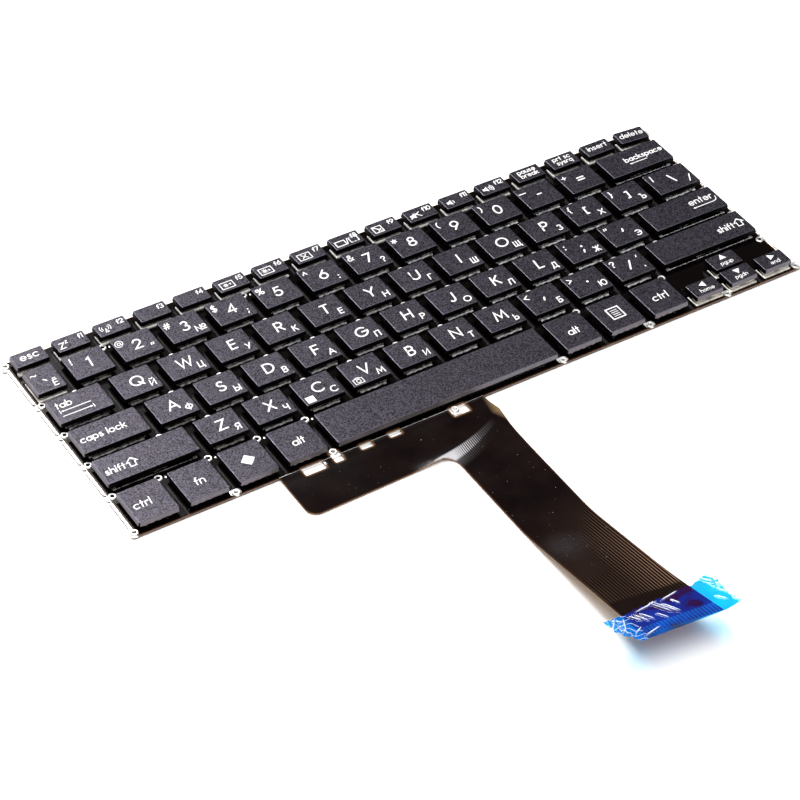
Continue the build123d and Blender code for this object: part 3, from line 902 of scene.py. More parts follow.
legends["v"].path([(-5.4, -2.9), (-4.9, -2.5), (-3.9, -2.5), (-3.4, -2.9)], 0.14)
ARROW_KEYS = (("left", 180, "home"), ("up", 90, "pgup"), ("down", 270, "pgdn"), ("right", 0, "end"))
ARROW_SIZE = 1.65
for way, turn, word in ARROW_KEYS:
    name = "arrow_" + way
    tips = [radians(turn + step) for step in (0, 120, 240)]
    legends[name] = Legend().fill([(ARROW_SIZE * cos(t) + 0.2, ARROW_SIZE * sin(t) + 1.5) for t in tips])
    legends[name].text(word, 1.75, 0.12, 0.2, -1.3)
print("legends with words:", len(legends))

# %% Legends of the back row
def loudspeaker(made, x, y):
    """A small filled loudspeaker."""
    return made.fill([(x - 1.7, y - 0.6), (x - 0.8, y - 0.6), (x + 0.3, y - 1.4), (x + 0.3, y + 1.4),
                      (x - 0.8, y + 0.6), (x - 1.7, y + 0.6)])


legends["escape"] = Legend().text("esc", 3.3, 0.22, 0.1, 0.75)
for i in range(1, 13):
    legends[f"f{i}"] = Legend().text(f"f{i}", *KEY_NUMBER, 4.7, 1.15, "right")
legends["f1"].text("Z", 2.7, 0.19, -3.5, -0.7).text("Z", 1.2, 0.13, -1.55, 0.6)
mast = legends["f2"].path([(-2.4, 0.0), (-2.9, -1.9), (-1.9, -1.9), (-2.4, 0.0)], 0.15)
for reach in (1.2, 2.0):
    mast.path(arc(-2.4, 0.2, reach, reach, 38, -38), 0.14).path(arc(-2.4, 0.2, reach, reach, 142, 218), 0.14)
for name, rays in (("f5", 0.9), ("f6", 1.2)):
    legends[name].path(box(-4.4, -2.3, 0.5, 1.0), 0.17).path(ring(-2.5, -0.65, 0.42), 0.14)
    for turn in range(0, 180, 45):
        reach = (rays * cos(radians(turn)), rays * sin(radians(turn)))
        legends[name].path([(-2.5 - reach[0], -0.65 - reach[1]), (-2.5 + reach[0], -0.65 + reach[1])], 0.1)
    tip = 0.5 if name == "f6" else -0.5
    wedge = [(-1.2, -0.65 - tip), (-0.3, -0.65 - tip), (-0.75, -0.65 + tip)]
    legends[name].fill(wedge if tip > 0 else wedge[::-1])
legends["f7"].path(box(-4.3, -2.3, 0.5, 1.0), 0.17)
legends["f7"].path([(-3.0, -1.7), (-0.8, 0.4)], 0.16).path([(-3.0, 0.4), (-0.8, -1.7)], 0.16)
legends["f8"].path(box(-4.6, -2.2, -0.85, 0.4), 0.2).path([(-0.45, -2.3), (0.5, 0.7)], 0.16)
legends["f8"].path([(1.0, -2.2), (1.0, 0.4), (1.6, 0.4)], 0.17).path([(1.0, -2.2), (1.6, -2.2)], 0.17)
legends["f8"].path([(3.6, 0.4), (4.2, 0.4), (4.2, -2.2), (3.6, -2.2)], 0.17)
legends["f8"].path([(2.3, 0.4), (2.9, 0.4)], 0.17).path([(2.3, -2.2), (2.9, -2.2)], 0.17)
legends["f9"].path(box(-4.4, -2.3, -0.9, 1.1), 0.18).path([(-3.9, 0.7), (-2.4, -0.6)], 0.2)
legends["f9"].path([(-2.9, -1.8), (-1.5, -0.5)], 0.17).path([(-2.9, -0.5), (-1.5, -1.8)], 0.17)
for name in ("f10", "f11", "f12"):
    loudspeaker(legends[name], -2.7, -0.65)
legends["f10"].path([(-4.6, -1.9), (-0.3, 0.7)], 0.19).path([(-2.0, 0.3), (-0.3, -1.8)], 0.19)
for name, reaches in (("f11", (1.0,)), ("f12", (1.0, 1.7, 2.4))):
    for reach in reaches:
        legends[name].path(arc(-2.5, -0.65, reach, reach, 42, -42), 0.16)
for name, upper_word, lower_word in (("pause", "pause", "break"), ("print", "prt sc", "sysrq")):
    legends[name] = Legend().text(upper_word, *SMALL_WORD, 0.2, 1.6).text(lower_word, *SMALL_WORD, 0.2, -0.9)
for name in ("insert", "delete"):
    legends[name] = Legend().text(name, 2.5, 0.17, 0.2, 0.6)
print("legends in all:", len(legends))

# %% Print the legends on the caps
for name, legend in legends.items():
    key = key_named[name]
    x, y = key.middle
    raised = [(px + x, py + y, key.top + INK_LIFT + pz) for px, py, pz in legend.form.points]
    legend.form.points = turned_flat(raised, key)
    make_piece("print_" + name, legend.form, [ink], key.body)
print("printed caps:", len(legends), "bare caps:", sorted(set(key_named) - set(legends)))

# %% [markdown]
# ## Scissor links and domes
# Under each cap two nylon frames cross like scissors: the outer one has its bar at the front, the inner one
# at the back, and both lean from the film up to the cap. A rubber dome in the middle pushes the cap up.
# When a key goes down they fold flat. The front toe of the bar is what can be seen between the rows.

# %% Links and domes
LINK_BAR = 1.2
LINK_THICK = 0.75
TOE = (1.1, 0.3, 0.85)
TEETH = (0.0, 0.2, 0.05, 0.24, 0.0, 0.16, 0.3, 0.04)
WIRED = ("backspace", "enter", "left_shift", "right_shift", "space")
usual = key_named["q"]
usual_width, usual_depth = usual.size
ceiling = cap_top - CAP_CEILING - 0.02


def is_small(key):
    """Half-height and narrow keys have smaller mechanisms."""
    width, depth = key.size
    return depth < usual_depth - 0.01 or width < usual_width - 0.01


def link_size(key):
    """Width and length of a key's outer link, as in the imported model."""
    width, depth = key.size
    if is_small(key):
        return width - 2 * CAP_WALL - 0.5, depth - 2 * CAP_WALL - 0.4
    if key.name in WIRED:
        return usual_width - 2 * CAP_WALL - 2.5, usual_depth - 2 * CAP_WALL - 3.2
    return width - 2 * CAP_WALL - 2.5, usual_depth - 2 * CAP_WALL - 0.4


def prism(profile, start, end):
    """A level bar along x: a profile of y and z between two ends."""
    return loft([[(x, y, z) for y, z in profile] for x in (start, end)])


def brick(far, near, low, high):
    """The profile of a plain bar."""
    return [(far, low), (near, low), (near, high), (far, high)]


def link_forms(width, length, toe):
    """One link about its key's middle: two leaning arms, a bar on the film and, if asked, a toothed toe."""
    front, back = -length / 2, length / 2
    low, high = film_top, ceiling
    form = Form()
    heel, bar_top = front + LINK_BAR, low + LINK_THICK
    arm = [(heel, low), (heel + 0.3, low), (back, high - LINK_THICK), (back, high - 0.1), (back - 0.6, high),
           (heel, bar_top)]
    for side in (-1, 1):
        edge = side * width / 2
        form.add(*prism(arm, *sorted((edge, edge - side * LINK_BAR))))
    bar = [(heel, low), (heel, bar_top - 0.1), (heel - 0.1, bar_top), (front + 0.15, bar_top),
           (front, bar_top - 0.15), (front, low)]
    if toe:
        reach, step, deep = TOE
        tooth = width * 0.9 / len(TEETH)
        root = front - reach + deep
        tie = brick(front + 0.2, root - 0.1, low, low + 0.1)
        for i, bite in enumerate(TEETH):
            edge = front - reach + bite
            lip = [(root, low), (edge, low), (edge, low + step - 0.08), (edge + 0.08, low + step),
                   (root, low + step)]
            form.add(*prism(lip, -width * 0.45 + i * tooth, -width * 0.45 + (i + 1) * tooth))
        for side in (-1, 1):
            form.add(*prism(tie, side * width * 0.35 - 0.4, side * width * 0.35 + 0.4))
    gap = min(1.3, width / 7)
    for start, end in ((-width / 2, -gap), (gap, width / 2)):
        form.add(*prism(bar[::-1], start, end))
    form.add(*prism(brick(heel, front + 0.4, low, low + 0.35), -gap, gap))
    return form


def turned(form, x, y, half_turn):
    """A form moved to a key, facing the front or the back."""
    sign = -1 if half_turn else 1
    return [(x + sign * px, y + sign * py, pz) for px, py, pz in form.points], form.faces


def dome_form(x, y, base, top):
    """A rubber dome: a thin foot, a bell wall and a small flat head."""
    tall = ceiling - film_top
    profile = ((base, 0.0), (base, 0.12), (base * 0.86, 0.2), (base * 0.8, tall * 0.45),
               (top + 0.1, tall * 0.8), (top, tall * 0.93), (top * 0.85, tall))
    loops = []
    for radius, z in profile:
        turns = [2 * pi * i / 20 for i in range(20)]
        loops.append([(x + radius * cos(t), y + radius * sin(t), film_top + z) for t in turns])
    return Form().add(*loft(loops))


def settle(made, key):
    """A mechanism gets a mesh of its own where its key moves."""
    if key.joint:
        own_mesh(made)


FRAME_OUT, FRAME_DEEP = 0.4, 1.1
FRAME_THICK = {True: 0.3, False: 0.6}


def frame_form(key):
    """The pale frame under a small key: a notched bar in front and, mostly, a thin arm at its left."""
    front, top = key.front - FRAME_OUT, film_top + FRAME_THICK[bool(key.joint)]
    low = brick(front + 1.8, front + 0.15, film_top, top - 0.16)
    step = [(front + FRAME_DEEP, film_top), (front, film_top), (front, top - 0.06), (front + 0.06, top),
            (front + FRAME_DEEP, top)]
    wide = key.size[0]
    form = Form().add(*prism(low, key.left + 0.2, key.right - 0.8))
    for start, end in ((0.0, 0.44), (0.49, 0.72), (0.77, 0.94)):
        form.add(*prism(step, key.left + start * wide, key.left + end * wide))
    if key.name != "escape":
        arm = brick(key.back - 2.6, front, film_top, top - 0.06)
        form.add(*prism(arm, key.left - 0.12, key.left + 0.25))
    return form.points, form.faces


def guide_form(key):
    """The low guide of a wide key's wire: a thin strip with a foot at each end."""
    front = key.front + 0.15
    foot = [(front + 1.0, film_top), (front - 0.1, film_top), (front - 0.1, film_top + 0.25),
            (front + 1.0, film_top + 0.3)]
    ends = (key.left + 2.2, key.right - 2.2)
    form = Form().add(*prism(brick(front + 0.3, front, film_top, film_top + 0.16), *ends))
    for x in ends:
        form.add(*prism(foot, x - 0.7, x + 0.7))
    return form.points, form.faces


for key in keys:
    x, y = key.middle
    width, length = link_size(key)
    small = is_small(key)
    form = Form().add(*turned(link_forms(width, length, not small), x, y, False))
    form.add(*turned(link_forms(width - 2 * LINK_BAR - 0.2, length, False), x, y, True))
    if small:
        form.add(*frame_form(key))
    if key.name in WIRED and key.name != "space":
        form.add(*guide_form(key))
    links = make_piece("links_" + key.name, form, [cream if small else nylon], "board")
    dome = make_piece("dome_" + key.name, dome_form(x, y, 1.4 if small else 2.7, 1.0 if small else 1.5),
                      [rubber], "board")
    settle(links, key)
    settle(dome, key)
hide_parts("outer_scissor_links", "inner_scissor_links")
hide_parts("rubber_domes")
print("mechanisms:", len(keys), "link size of a usual key:", [round(v, 2) for v in link_size(usual)])

# %% [markdown]
# ## Stabiliser wires
# Wide keys would tip when pressed at one end. A bent steel wire under the cap ties both ends together. The
# wire is a curve with a round section, turned into a mesh.

# %% Stabiliser wires
WIRE = 0.4
WIRE_LEG = 3.4


def wire_mesh(name, points):
    """A round wire along points, as a mesh."""
    curve = bpy.data.curves.new(name, "CURVE")
    curve.dimensions = "3D"
    curve.bevel_depth = WIRE * MM
    curve.bevel_resolution = 2
    curve.use_fill_caps = True
    line = curve.splines.new("POLY")
    line.points.add(len(points) - 1)
    for spot, place in zip(line.points, points):
        spot.co = (*(Vector(place) * MM), 1)
    holder = bpy.data.objects.new(name, curve)
    mesh = bpy.data.meshes.new_from_object(holder)
    bpy.data.objects.remove(holder)
    return mesh


def wire_path(key):
    """The wire's line: a foot, a rounded corner, the long run, a corner and a foot."""
    x, y = key.middle
    front = y - usual_depth / 2 + CAP_WALL + 0.2 + WIRE
    end = key.size[0] / 2 - CAP_WALL - 2.2
    high, low = ceiling - WIRE, film_top + WIRE
    half = [(end, front + WIRE_LEG, low), (end, front + 1.0, high - 0.5),
            (end - 0.15, front + 0.4, high - 0.15), (end - 0.45, front + 0.1, high), (end - 1.0, front, high)]
    return [(x - px, py, pz) for px, py, pz in half] + [(x + px, py, pz) for px, py, pz in half[::-1]]


for name in WIRED:
    key = key_named[name]
    mesh = wire_mesh("wire_" + name, wire_path(key))
    mesh.materials.append(wire_steel)
    wire = bpy.data.objects.new("wire_" + name, mesh)
    bpy.context.scene.collection.objects.link(wire)
    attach(wire, "board")
    settle(wire, key)
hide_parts("stabiliser_wires")
print("wires:", len(WIRED))

# %% [markdown]
# ## Flat sheets
# The plate and the film are thin sheets with many openings. A triangulation that respects given lines fills
# such an outline in one call, and extra points inside let the film bend later. A sheet then gets its
# thickness by doubling its faces and closing every open edge with a wall.

# %% Helpers for sheets
def inside(points, loop):
    """Which points lie inside a closed loop."""
    x, y = points[:, 0], points[:, 1]
    hits = np.zeros(len(points), bool)
    for (ax, ay), (bx, by) in zip(loop, loop[1:] + loop[:1]):
        if ay != by:
            cross = ax + (y - ay) / (by - ay) * (bx - ax)
            hits ^= ((ay > y) != (by > y)) & (x < cross)
    return hits


def cut_sheet(outline, openings, spare=()):
    """Flat triangles of an outline without its openings; spare points make it finer."""
    points, edges = [], []
    for loop in [outline, *openings]:
        start = len(points)
        points += loop
        edges += [(start + i, start + (i + 1) % len(loop)) for i in range(len(loop))]
    points += spare
    spots, _, triangles, *_ = delaunay_2d_cdt([Vector(p) for p in points], edges, [], 0, 1e-5)
    flat = np.array([tuple(p) for p in spots])
    middles = np.array([flat[t].mean(0) for t in triangles])
    kept = inside(middles, outline)
    for loop in openings:
        kept &= ~inside(middles, loop)
    return flat, [list(t) for t, keep in zip(triangles, kept) if keep]


def thickened(top, bottom, faces):
    """A sheet between two lists of matching points; the walls along its open edges have the second finish."""
    count = len(top)
    sides = {}
    for face in faces:
        for a, b in zip(face, face[1:] + face[:1]):
            sides[(a, b)] = True
    walls = [[b, a, a + count, b + count] for a, b in sides if (b, a) not in sides]
    form = Form().add([*top, *bottom], faces + [[i + count for i in face[::-1]] for face in faces])
    form.faces += walls
    form.marks += [1] * len(walls)
    return form


def circle(x, y, radius, steps=20):
    """A closed round loop."""
    turns = [2 * pi * i / steps for i in range(steps)]
    return [(x + radius * cos(t), y + radius * sin(t)) for t in turns]


print("sheet helpers ready")

# %% [markdown]
# ## Base plate
# The plate is stamped from thin steel. Stake holes go through it in the gaps between the keys, each with a
# swaged ring that shines, and many of them with a small stud beside it. The side edges carry narrow
# turned-up lips between the rings, the front edge a low lip between the windows of the film. Rings, studs,
# lips and the hooks that hold the links are separate forms, gathered with the sheet into one piece.

# %% Places on the plate
plate_low, plate_high = (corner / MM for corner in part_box("base_plate"))
EAR = 1.2
KEY_GAP = 3.3
PLATE_TOP = plate_high.z
plate_left, plate_right = plate_low.x + EAR, plate_high.x - EAR
plate_front, plate_back = plate_low.y, plate_high.y
side_x = (keys[0].left, keys[16].right)
row_gap = [(key_named[a].front + key_named[b].back) / 2
           for a, b in (("digit_1", "q"), ("q", "a"), ("a", "z"), ("z", "left_ctrl"), ("f1", "digit_1"))]


def gap_after(name):
    """The middle of the gap at a key's right."""
    return key_named[name].right + KEY_GAP / 2


edge_rings = [(x, row_gap[i]) for x in side_x for i in range(4)]
edge_rings += [(x, y) for x in (plate_left + 0.5, plate_right - 0.5)
               for y in (plate_front + 1.9, plate_back - 1.9)]
bottom_rings = [(gap_after(name), row_gap[3])
                for name in ("left_ctrl", "fn", "system", "left_alt", "right_alt", "right_ctrl")]
INNER_RINGS = (
    (1, "qwertyuiop"), (2, "asdfghjkl"), (2, ("caps_lock", "semicolon", "apostrophe")),
    (0, ("grave", "digit_2", "digit_4", "digit_7", "digit_9", "minus")), (4, ("digit_1", "digit_4")),
)
inner_rings = [(gap_after(name), row_gap[row]) for row, names in INNER_RINGS for name in names]
inner_rings += [(54.2, row_gap[4])]
FRONT_LINE = -46.1
TAB_RING = (-13.3, -48.4)
front_rings = [(gap_after("fn"), FRONT_LINE), (gap_after("left_alt"), -45.6), TAB_RING,
               (31.8, FRONT_LINE), (gap_after("menu"), FRONT_LINE), (101.5, FRONT_LINE)]
rings = edge_rings + bottom_rings + inner_rings + front_rings
WINDOWS = ((-71.8, -50.8, -63.9), (-60.3, -50.4, -57.0), (-49.9, -49.5, -45.4), (-38.8, -49.3, -34.2),
           (-15.2, -51.2, -8.8))
print("rings:", len(rings))

# %% Plate forms
RING_OUT, RING_IN, RING_TALL = 1.55, 0.72, 0.6
LIP = 0.22
LIP_TALL = 0.4


def swaged_ring(x, y, base):
    """A raised ring round a stake hole."""
    profile = ((RING_IN, -0.3), (RING_IN, RING_TALL - 0.1), (RING_IN + 0.12, RING_TALL),
               (RING_OUT - 0.35, RING_TALL), (RING_OUT - 0.08, RING_TALL * 0.6), (RING_OUT, 0.0))
    loops = [[(px, py, base + z) for px, py in circle(x, y, r, 24)] for r, z in profile]
    points, faces = loft(loops, ends=False)
    return points, [face[::-1] for face in faces]


outline = [(plate_left, plate_front)]
outline += [(x, plate_front) for a, _, b in WINDOWS[:4] for x in (a, b)]
x, y = TAB_RING
outline += [(x - 1.9, plate_front), (x - 1.9, y - 1.2), (x - 1.2, y - 1.8), (x + 1.2, y - 1.8),
            (x + 1.9, y - 1.2), (x + 1.9, plate_front), (WINDOWS[4][2], plate_front)]
outline += [(plate_right, plate_front), (plate_right + EAR, plate_front + 0.6),
            (plate_right + EAR, plate_front + 3.6), (plate_right, plate_front + 4.2)]
for y in sorted(row_gap[:4]):
    outline += [(plate_right, y - 2.4), (plate_right - 0.8, y - 1.9), (plate_right - 0.8, y - 1.2),
                (plate_right, y - 0.8), (plate_right, y + 0.8), (plate_right - 0.8, y + 1.2),
                (plate_right - 0.8, y + 1.9), (plate_right, y + 2.4)]
outline += [(plate_right, plate_back - 4.2), (plate_right + EAR, plate_back - 3.6),
            (plate_right + EAR, plate_back - 0.6), (plate_right, plate_back)]
outline += [(-x, y) for x, y in outline[::-1] if y > plate_front + 0.1]
outline += [(plate_left - EAR, plate_front + 0.6)]
holes = [circle(x, y, RING_IN) for x, y in rings]
flat, faces = cut_sheet(outline, holes)
plate = thickened([(x, y, PLATE_TOP) for x, y in flat], [(x, y, 0) for x, y in flat], faces)
# In the film's windows the plate's front edge keeps the bright steel, without the painted edge shade.
for i, face in enumerate(plate.faces):
    x, y, _ = np.mean([plate.points[k] for k in face], 0)
    if plate.marks[i] and y < plate_front + 0.01 and any(a <= x <= b for a, _, b in WINDOWS):
        plate.marks[i] = 0
for x, y in rings:
    plate.add(*swaged_ring(x, y, PLATE_TOP))
for x, y in bottom_rings[:4] + inner_rings:
    plate.add(*loft([[(px, py, PLATE_TOP + z) for px, py in circle(x + 2.4, y - 0.8, r, 12)]
                     for r, z in ((0.45, 0), (0.42, 0.45), (0.25, 0.55))]))
print("plate outline points:", len(outline))

# %% Lips and hooks
def bar_between(a, b, wide, low, high):
    """A straight level lip with a bevelled top."""
    run = Vector((b[0] - a[0], b[1] - a[1])).normalized()
    side = Vector((-run.y, run.x)) * wide / 2
    loops = []
    for shrink, z in ((0, low), (0, high - 0.1), (0.08, high)):
        scale = 1 - 2 * shrink / wide
        ends = ((a, 1), (b, 1), (b, -1), (a, -1))
        loops.append([(x + side.x * s * scale, y + side.y * s * scale, z) for (x, y), s in ends][::-1])
    return loft(loops)


def gaps_between(places, start, end, room):
    """The runs left between places along a line."""
    marks = [start, *[v for p in sorted(places) for v in (p - room, p + room)], end]
    return [(a, b) for a, b in zip(marks[::2], marks[1::2]) if b - a > 1]


lip_top = PLATE_TOP + LIP_TALL
for a, b in zip((-80.0, *[b for _, _, b in WINDOWS]), (*[a for a, _, _ in WINDOWS], -1.5)):
    plate.add(*bar_between((a, plate_front + 0.25), (b, plate_front + 0.25), LIP, PLATE_TOP - 0.1, lip_top))
for x in (plate_left + 0.3, plate_right - 0.3):
    for a, b in gaps_between(row_gap[:4], plate_front + 5, plate_back - 5, 2.6):
        for low, high in ((a, (a + b) / 2 - 0.5), ((a + b) / 2 + 0.5, b)):
            plate.add(*bar_between((x, low), (x, high), 0.5, PLATE_TOP - 0.1, PLATE_TOP + 0.35))
for key in keys:
    x, y = key.middle
    width, length = link_size(key)
    for side in (-1, 1):
        middle = x + side * width * 0.33
        near = y - length / 2 + LINK_BAR + 0.15
        hook = [(near + 0.3, PLATE_TOP), (near + 0.3, film_top + 0.95), (near - 0.5, film_top + 0.95),
                (near - 0.5, film_top + 0.8), (near, film_top + 0.8), (near, PLATE_TOP)]
        plate.add(*prism(hook[::-1], middle - 0.55, middle + 0.55))
base = make_piece("plate_sheet", plate, [steel, edge_shade], "board")
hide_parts("base_plate")
print("plate faces:", len(plate.faces))

# %% [markdown]
# ## Printed film
# Printed polyester carries the switch lines, made here as one sheet. On the plate only the gaps between
# keys show it. In front it runs out as a flap, then as a tail that turns a corner and rises from the table
# towards its tip. The sheet is cut flat along its own length first, with windows and a fine net of points,
# and bent afterwards, so that the bend keeps its length. Its bare rim is amber; everything further in is
# printed dark.

# %% Film, flat
FLAP_LEFT, TAIL_LEFT, TAIL_RIGHT = -79.95, -26.05, -1.455
FLAP_FRONT = -67.76
BEND_START, BEND_RADIUS, RISE = -104.76, 60.0, radians(9.5)
RISE_LENGTH = 57.0
film_end = BEND_START - BEND_RADIUS * RISE - RISE_LENGTH
FILM_THICK = 0.25
NET_STEP = 1.4
side_edge = plate_right - 0.95
front_edge, back_edge = plate_front + 0.12, plate_back - 0.3


def net_of(across, along):
    """A net of points over two lists of places."""
    return [(x, y) for x in across for y in along]


def finer(loop, step):
    """A loop with points added along its long sides, so that the sides can bend."""
    points = []
    for (ax, ay), (bx, by) in zip(loop, loop[1:] + loop[:1]):
        count = max(1, round(hypot(bx - ax, by - ay) / step))
        points += [(ax + (bx - ax) * i / count, ay + (by - ay) * i / count) for i in range(count)]
    return points


right_edge = [(-1.5, front_edge), (-1.1, -50.5), (0.05, -54.9), (-0.4, -58.5), (-1.0, -63), (-1.3, -68),
              (TAIL_RIGHT, -76)]
film_outline = [(-side_edge, front_edge), (FLAP_LEFT, front_edge), (FLAP_LEFT, FLAP_FRONT + 4),
                *arc(FLAP_LEFT + 4, FLAP_FRONT + 4, 4, 4, 180, 270), (-52, FLAP_FRONT + 0.5),
                (TAIL_LEFT - 4.5, FLAP_FRONT + 1.0), *arc(TAIL_LEFT - 4.5, FLAP_FRONT - 3.5, 4.5, 4.5, 80, 0),
                (TAIL_LEFT, BEND_START), (TAIL_LEFT, film_end), (TAIL_RIGHT, film_end),
                (TAIL_RIGHT, BEND_START), *right_edge[::-1], (side_edge, front_edge),
                (side_edge, back_edge), (-side_edge, back_edge)]
film_outline = finer(film_outline, NET_STEP)
windows = [[(x, y) for x, y, _ in rounded(a, low, b, -45.0 if i == 1 else -47.0, 0.5, 0, 3)]
           for i, (a, low, b) in enumerate(WINDOWS)]
front_slots = [[(px, py) for px, py, _ in rounded(x - 1.9, -47.0, x + 1.9, y + 1.9, 0.8, 0, 3)]
               for x, y in front_rings if not -61 < x < -8]
flap_x = np.arange(FLAP_LEFT + 0.7, TAIL_RIGHT - 0.4, NET_STEP)
tail_x = np.arange(TAIL_LEFT + 0.7, TAIL_RIGHT - 0.4, 1.3)
spare = net_of(flap_x, np.arange(front_edge - 0.8, FLAP_FRONT, -NET_STEP))
spare += net_of(tail_x, np.arange(FLAP_FRONT, film_end, -NET_STEP))
spare += net_of(flap_x, np.arange(front_edge + 2.2, front_edge + 7, 1.2))
spare += net_of((TAIL_LEFT + 0.25, TAIL_RIGHT - 0.25), np.arange(-78.0, film_end, -NET_STEP))
for inset in (0.5, 1.0, 1.6):
    spare += net_of(np.arange(-side_edge + inset, side_edge - inset + 0.1, 3.1),
                    (front_edge + inset, back_edge - inset))
    spare += [(x, y) for y in np.arange(front_edge + 3, back_edge - 3, 3.1)
              for x in (-side_edge + inset, side_edge - inset)]
spare += net_of(np.arange(-34.3, -3, 0.7), np.arange(-69.3, -57, 0.7))
flat, film_faces = cut_sheet(film_outline, windows + front_slots, spare)
print("film triangles:", len(film_faces))

# %% [markdown]
# Bending is a rule for each point: along the tail the film leaves the table on a wide arc and then runs
# straight up at a slight angle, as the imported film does. Its end was cut askew, so the right corner reaches
# further. On the flap a soft diagonal ridge stands where the tail turns, and it catches the lamp. The share
# of bare rim and the share of ridge are kept on the points for the finish.

# %% Film, bent
FOLD_LEFT, FOLD_LENGTH = -33.5, 29.0
FOLD_CURVE = (-66.0, 0.10, 0.0070)
RIDGE_RISE = 1.5
RIM_FADE = 1.3
SKEW, SKEW_LENGTH = 4.0, 11.5
FLARE, FLARE_LENGTH = 2.2, 30.0
DROP, DROP_LENGTH = 0.36, 7


def clamp(value):
    """A value held between nought and one."""
    return max(0.0, min(1.0, value))


def bell(t):
    """A smooth hump, one at nought and gone by two."""
    return 2.718 ** -(t ** 2)


def ridge_share(x, v):
    """How much of the diagonal ridge stands at a point; it is tallest at the inner corner and runs out."""
    run = x - FOLD_LEFT
    off = FOLD_CURVE[0] + FOLD_CURVE[1] * run + FOLD_CURVE[2] * run ** 2 - v
    t = run / FOLD_LENGTH
    swell = clamp((t + 0.25) / 0.4) * clamp(1 - t) ** 1.5
    return swell * bell(off / (3.0 - 1.6 * clamp(t)))


def at_tip(x, back):
    """The tail's end is cut askew: its right corner reaches further out and further forward."""
    share = clamp((x - TAIL_LEFT) / (TAIL_RIGHT - TAIL_LEFT))
    forward = clamp(1 - back / SKEW_LENGTH)
    outward = clamp(1 - back / FLARE_LENGTH)
    return x + FLARE * share * outward ** 2, back - SKEW * share * forward


def film_place(x, v, lift):
    """Where a point of the flat film ends up; lift is its height in the film's thickness."""
    along = BEND_START - v
    arc_length = BEND_RADIUS * RISE
    base = PLATE_TOP
    if along <= 0:
        down = clamp((plate_front - v) / DROP_LENGTH)
        base -= DROP * down * down * (3 - 2 * down)
        return x, v, base + lift + RIDGE_RISE * ridge_share(x, v)
    base -= DROP
    if along < arc_length:
        turn = along / BEND_RADIUS
        radius = BEND_RADIUS - lift
        return x, BEND_START - radius * sin(turn), base + BEND_RADIUS - radius * cos(turn)
    x, back = at_tip(x, arc_length + RISE_LENGTH - along)
    rest = RISE_LENGTH - back
    y = BEND_START - (BEND_RADIUS - lift) * sin(RISE) - rest * cos(RISE)
    z = base + BEND_RADIUS - (BEND_RADIUS - lift) * cos(RISE) + rest * sin(RISE)
    back_up = DROP * min(1.0, rest / 30)
    return x, y, z + back_up


def distance_to(points, loops):
    """The distance of each point from the nearest edge of the loops."""
    least = np.full(len(points), 1e9)
    for loop in loops:
        for a, b in zip(loop, loop[1:] + loop[:1]):
            a, b = np.array(a), np.array(b)
            run = b - a
            t = np.clip(((points - a) @ run) / max(run @ run, 1e-9), 0, 1)
            least = np.minimum(least, np.hypot(*(points - a - t[:, None] * run).T))
    return least


film = thickened([film_place(x, v, FILM_THICK) for x, v in flat],
                 [film_place(x, v, 0.0) for x, v in flat], film_faces)
film.marks = [0] * len(film_faces) + [1] * len(film_faces) + [0] * (len(film.faces) - 2 * len(film_faces))
rim = np.clip(1 - distance_to(flat, [film_outline, *windows]) / RIM_FADE, 0, 1)
glow = np.clip(1 - distance_to(flat, windows) / 2.4, 0, 1)
fold = np.array([ridge_share(x, v) if v < plate_front else 0.0 for x, v in flat])
print("rim points:", int((rim > 0.5).sum()), "fold points:", int((fold > 0.5).sum()))

# %% [markdown]
# The film's finish is a glossy dark brown. Where it lies between the keys it is painted near black, as
# shade under the caps. Thin lines run along the tail, lighter and clearer towards its right side and its
# end, and a hazy patch of painted sheen lies on it. Marks painted on a picture would need a flat map of the
# sheet. Sums on the film's own coordinates need none: each mark is a share between nought and one, and the
# shares mix the colours one after another.

# %% Film finish: print, lines, painted shade and painted sheen
SHEEN_PATCH, SHEEN_PATCH_REACH = (-0.019, -0.121, 0.002), 0.009
LINE_PITCH = 0.00102
film_finish, tree, shader = new_finish("printed_film")
place, across, along, _ = axes_of(tree)
rim_value, glow_value, fold_value = (point_value(tree, name) for name in ("rim", "glow", "fold"))
brown = ramp(tree, noise(tree, 80.0, 3.0), (0.3, (0.0018, 0.0006, 0.0008)), (0.7, (0.0060, 0.0031, 0.0030)))
# Painted shade: the film between the keys is darkened to near black.
shade_between_keys = spread_of(tree, along, 0, 1, -0.0490, -0.0465)
shaded_brown = blend_of(tree, shade_between_keys, brown, (0.0009, 0.0004, 0.0005))
line_share = spread_of(tree, waves(tree, across, LINE_PITCH), 0, 1, 0.35, 0.9)
to_right = spread_of(tree, across, 0.2, 1, -0.015, -0.002)
to_tip = spread_of(tree, along, 0, 1, -0.103, -0.146)
band_edge = plus(tree, along, times(tree, across, 0.163))
bare_end = spread_of(tree, band_edge, 0.15, 1, -0.1572, -0.1560)
lines_seen = times(tree, line_share, to_right, to_tip, bare_end)
# Painted sheen: a hazy grey-blue patch of reflection on the tail, fading with distance from one point.
reach = node(tree, "ShaderNodeVectorMath", {"operation": "DISTANCE"})
tree.links.new(place, reach.inputs[0])
reach.inputs[1].default_value = SHEEN_PATCH
near_sheen_patch = spread_of(tree, reach.outputs["Value"], 0.24, 0, 0.0, SHEEN_PATCH_REACH)
sheen_painted = blend_of(tree, times(tree, near_sheen_patch, noise(tree, 700.0, 3.0)), shaded_brown, (0.10, 0.10, 0.115))
print("lines on the tail every", LINE_PITCH / MM, "mm")

# %% [markdown]
# Where the tail turns, the fold catches the light in a curved band, and that highlight is painted into the
# colour as white. Its outer edge ends in small teeth, and stripes part it, except at its smooth left end.
# It fades along the fold. The band hangs on the same curve as the ridge, so that colour and shape agree.

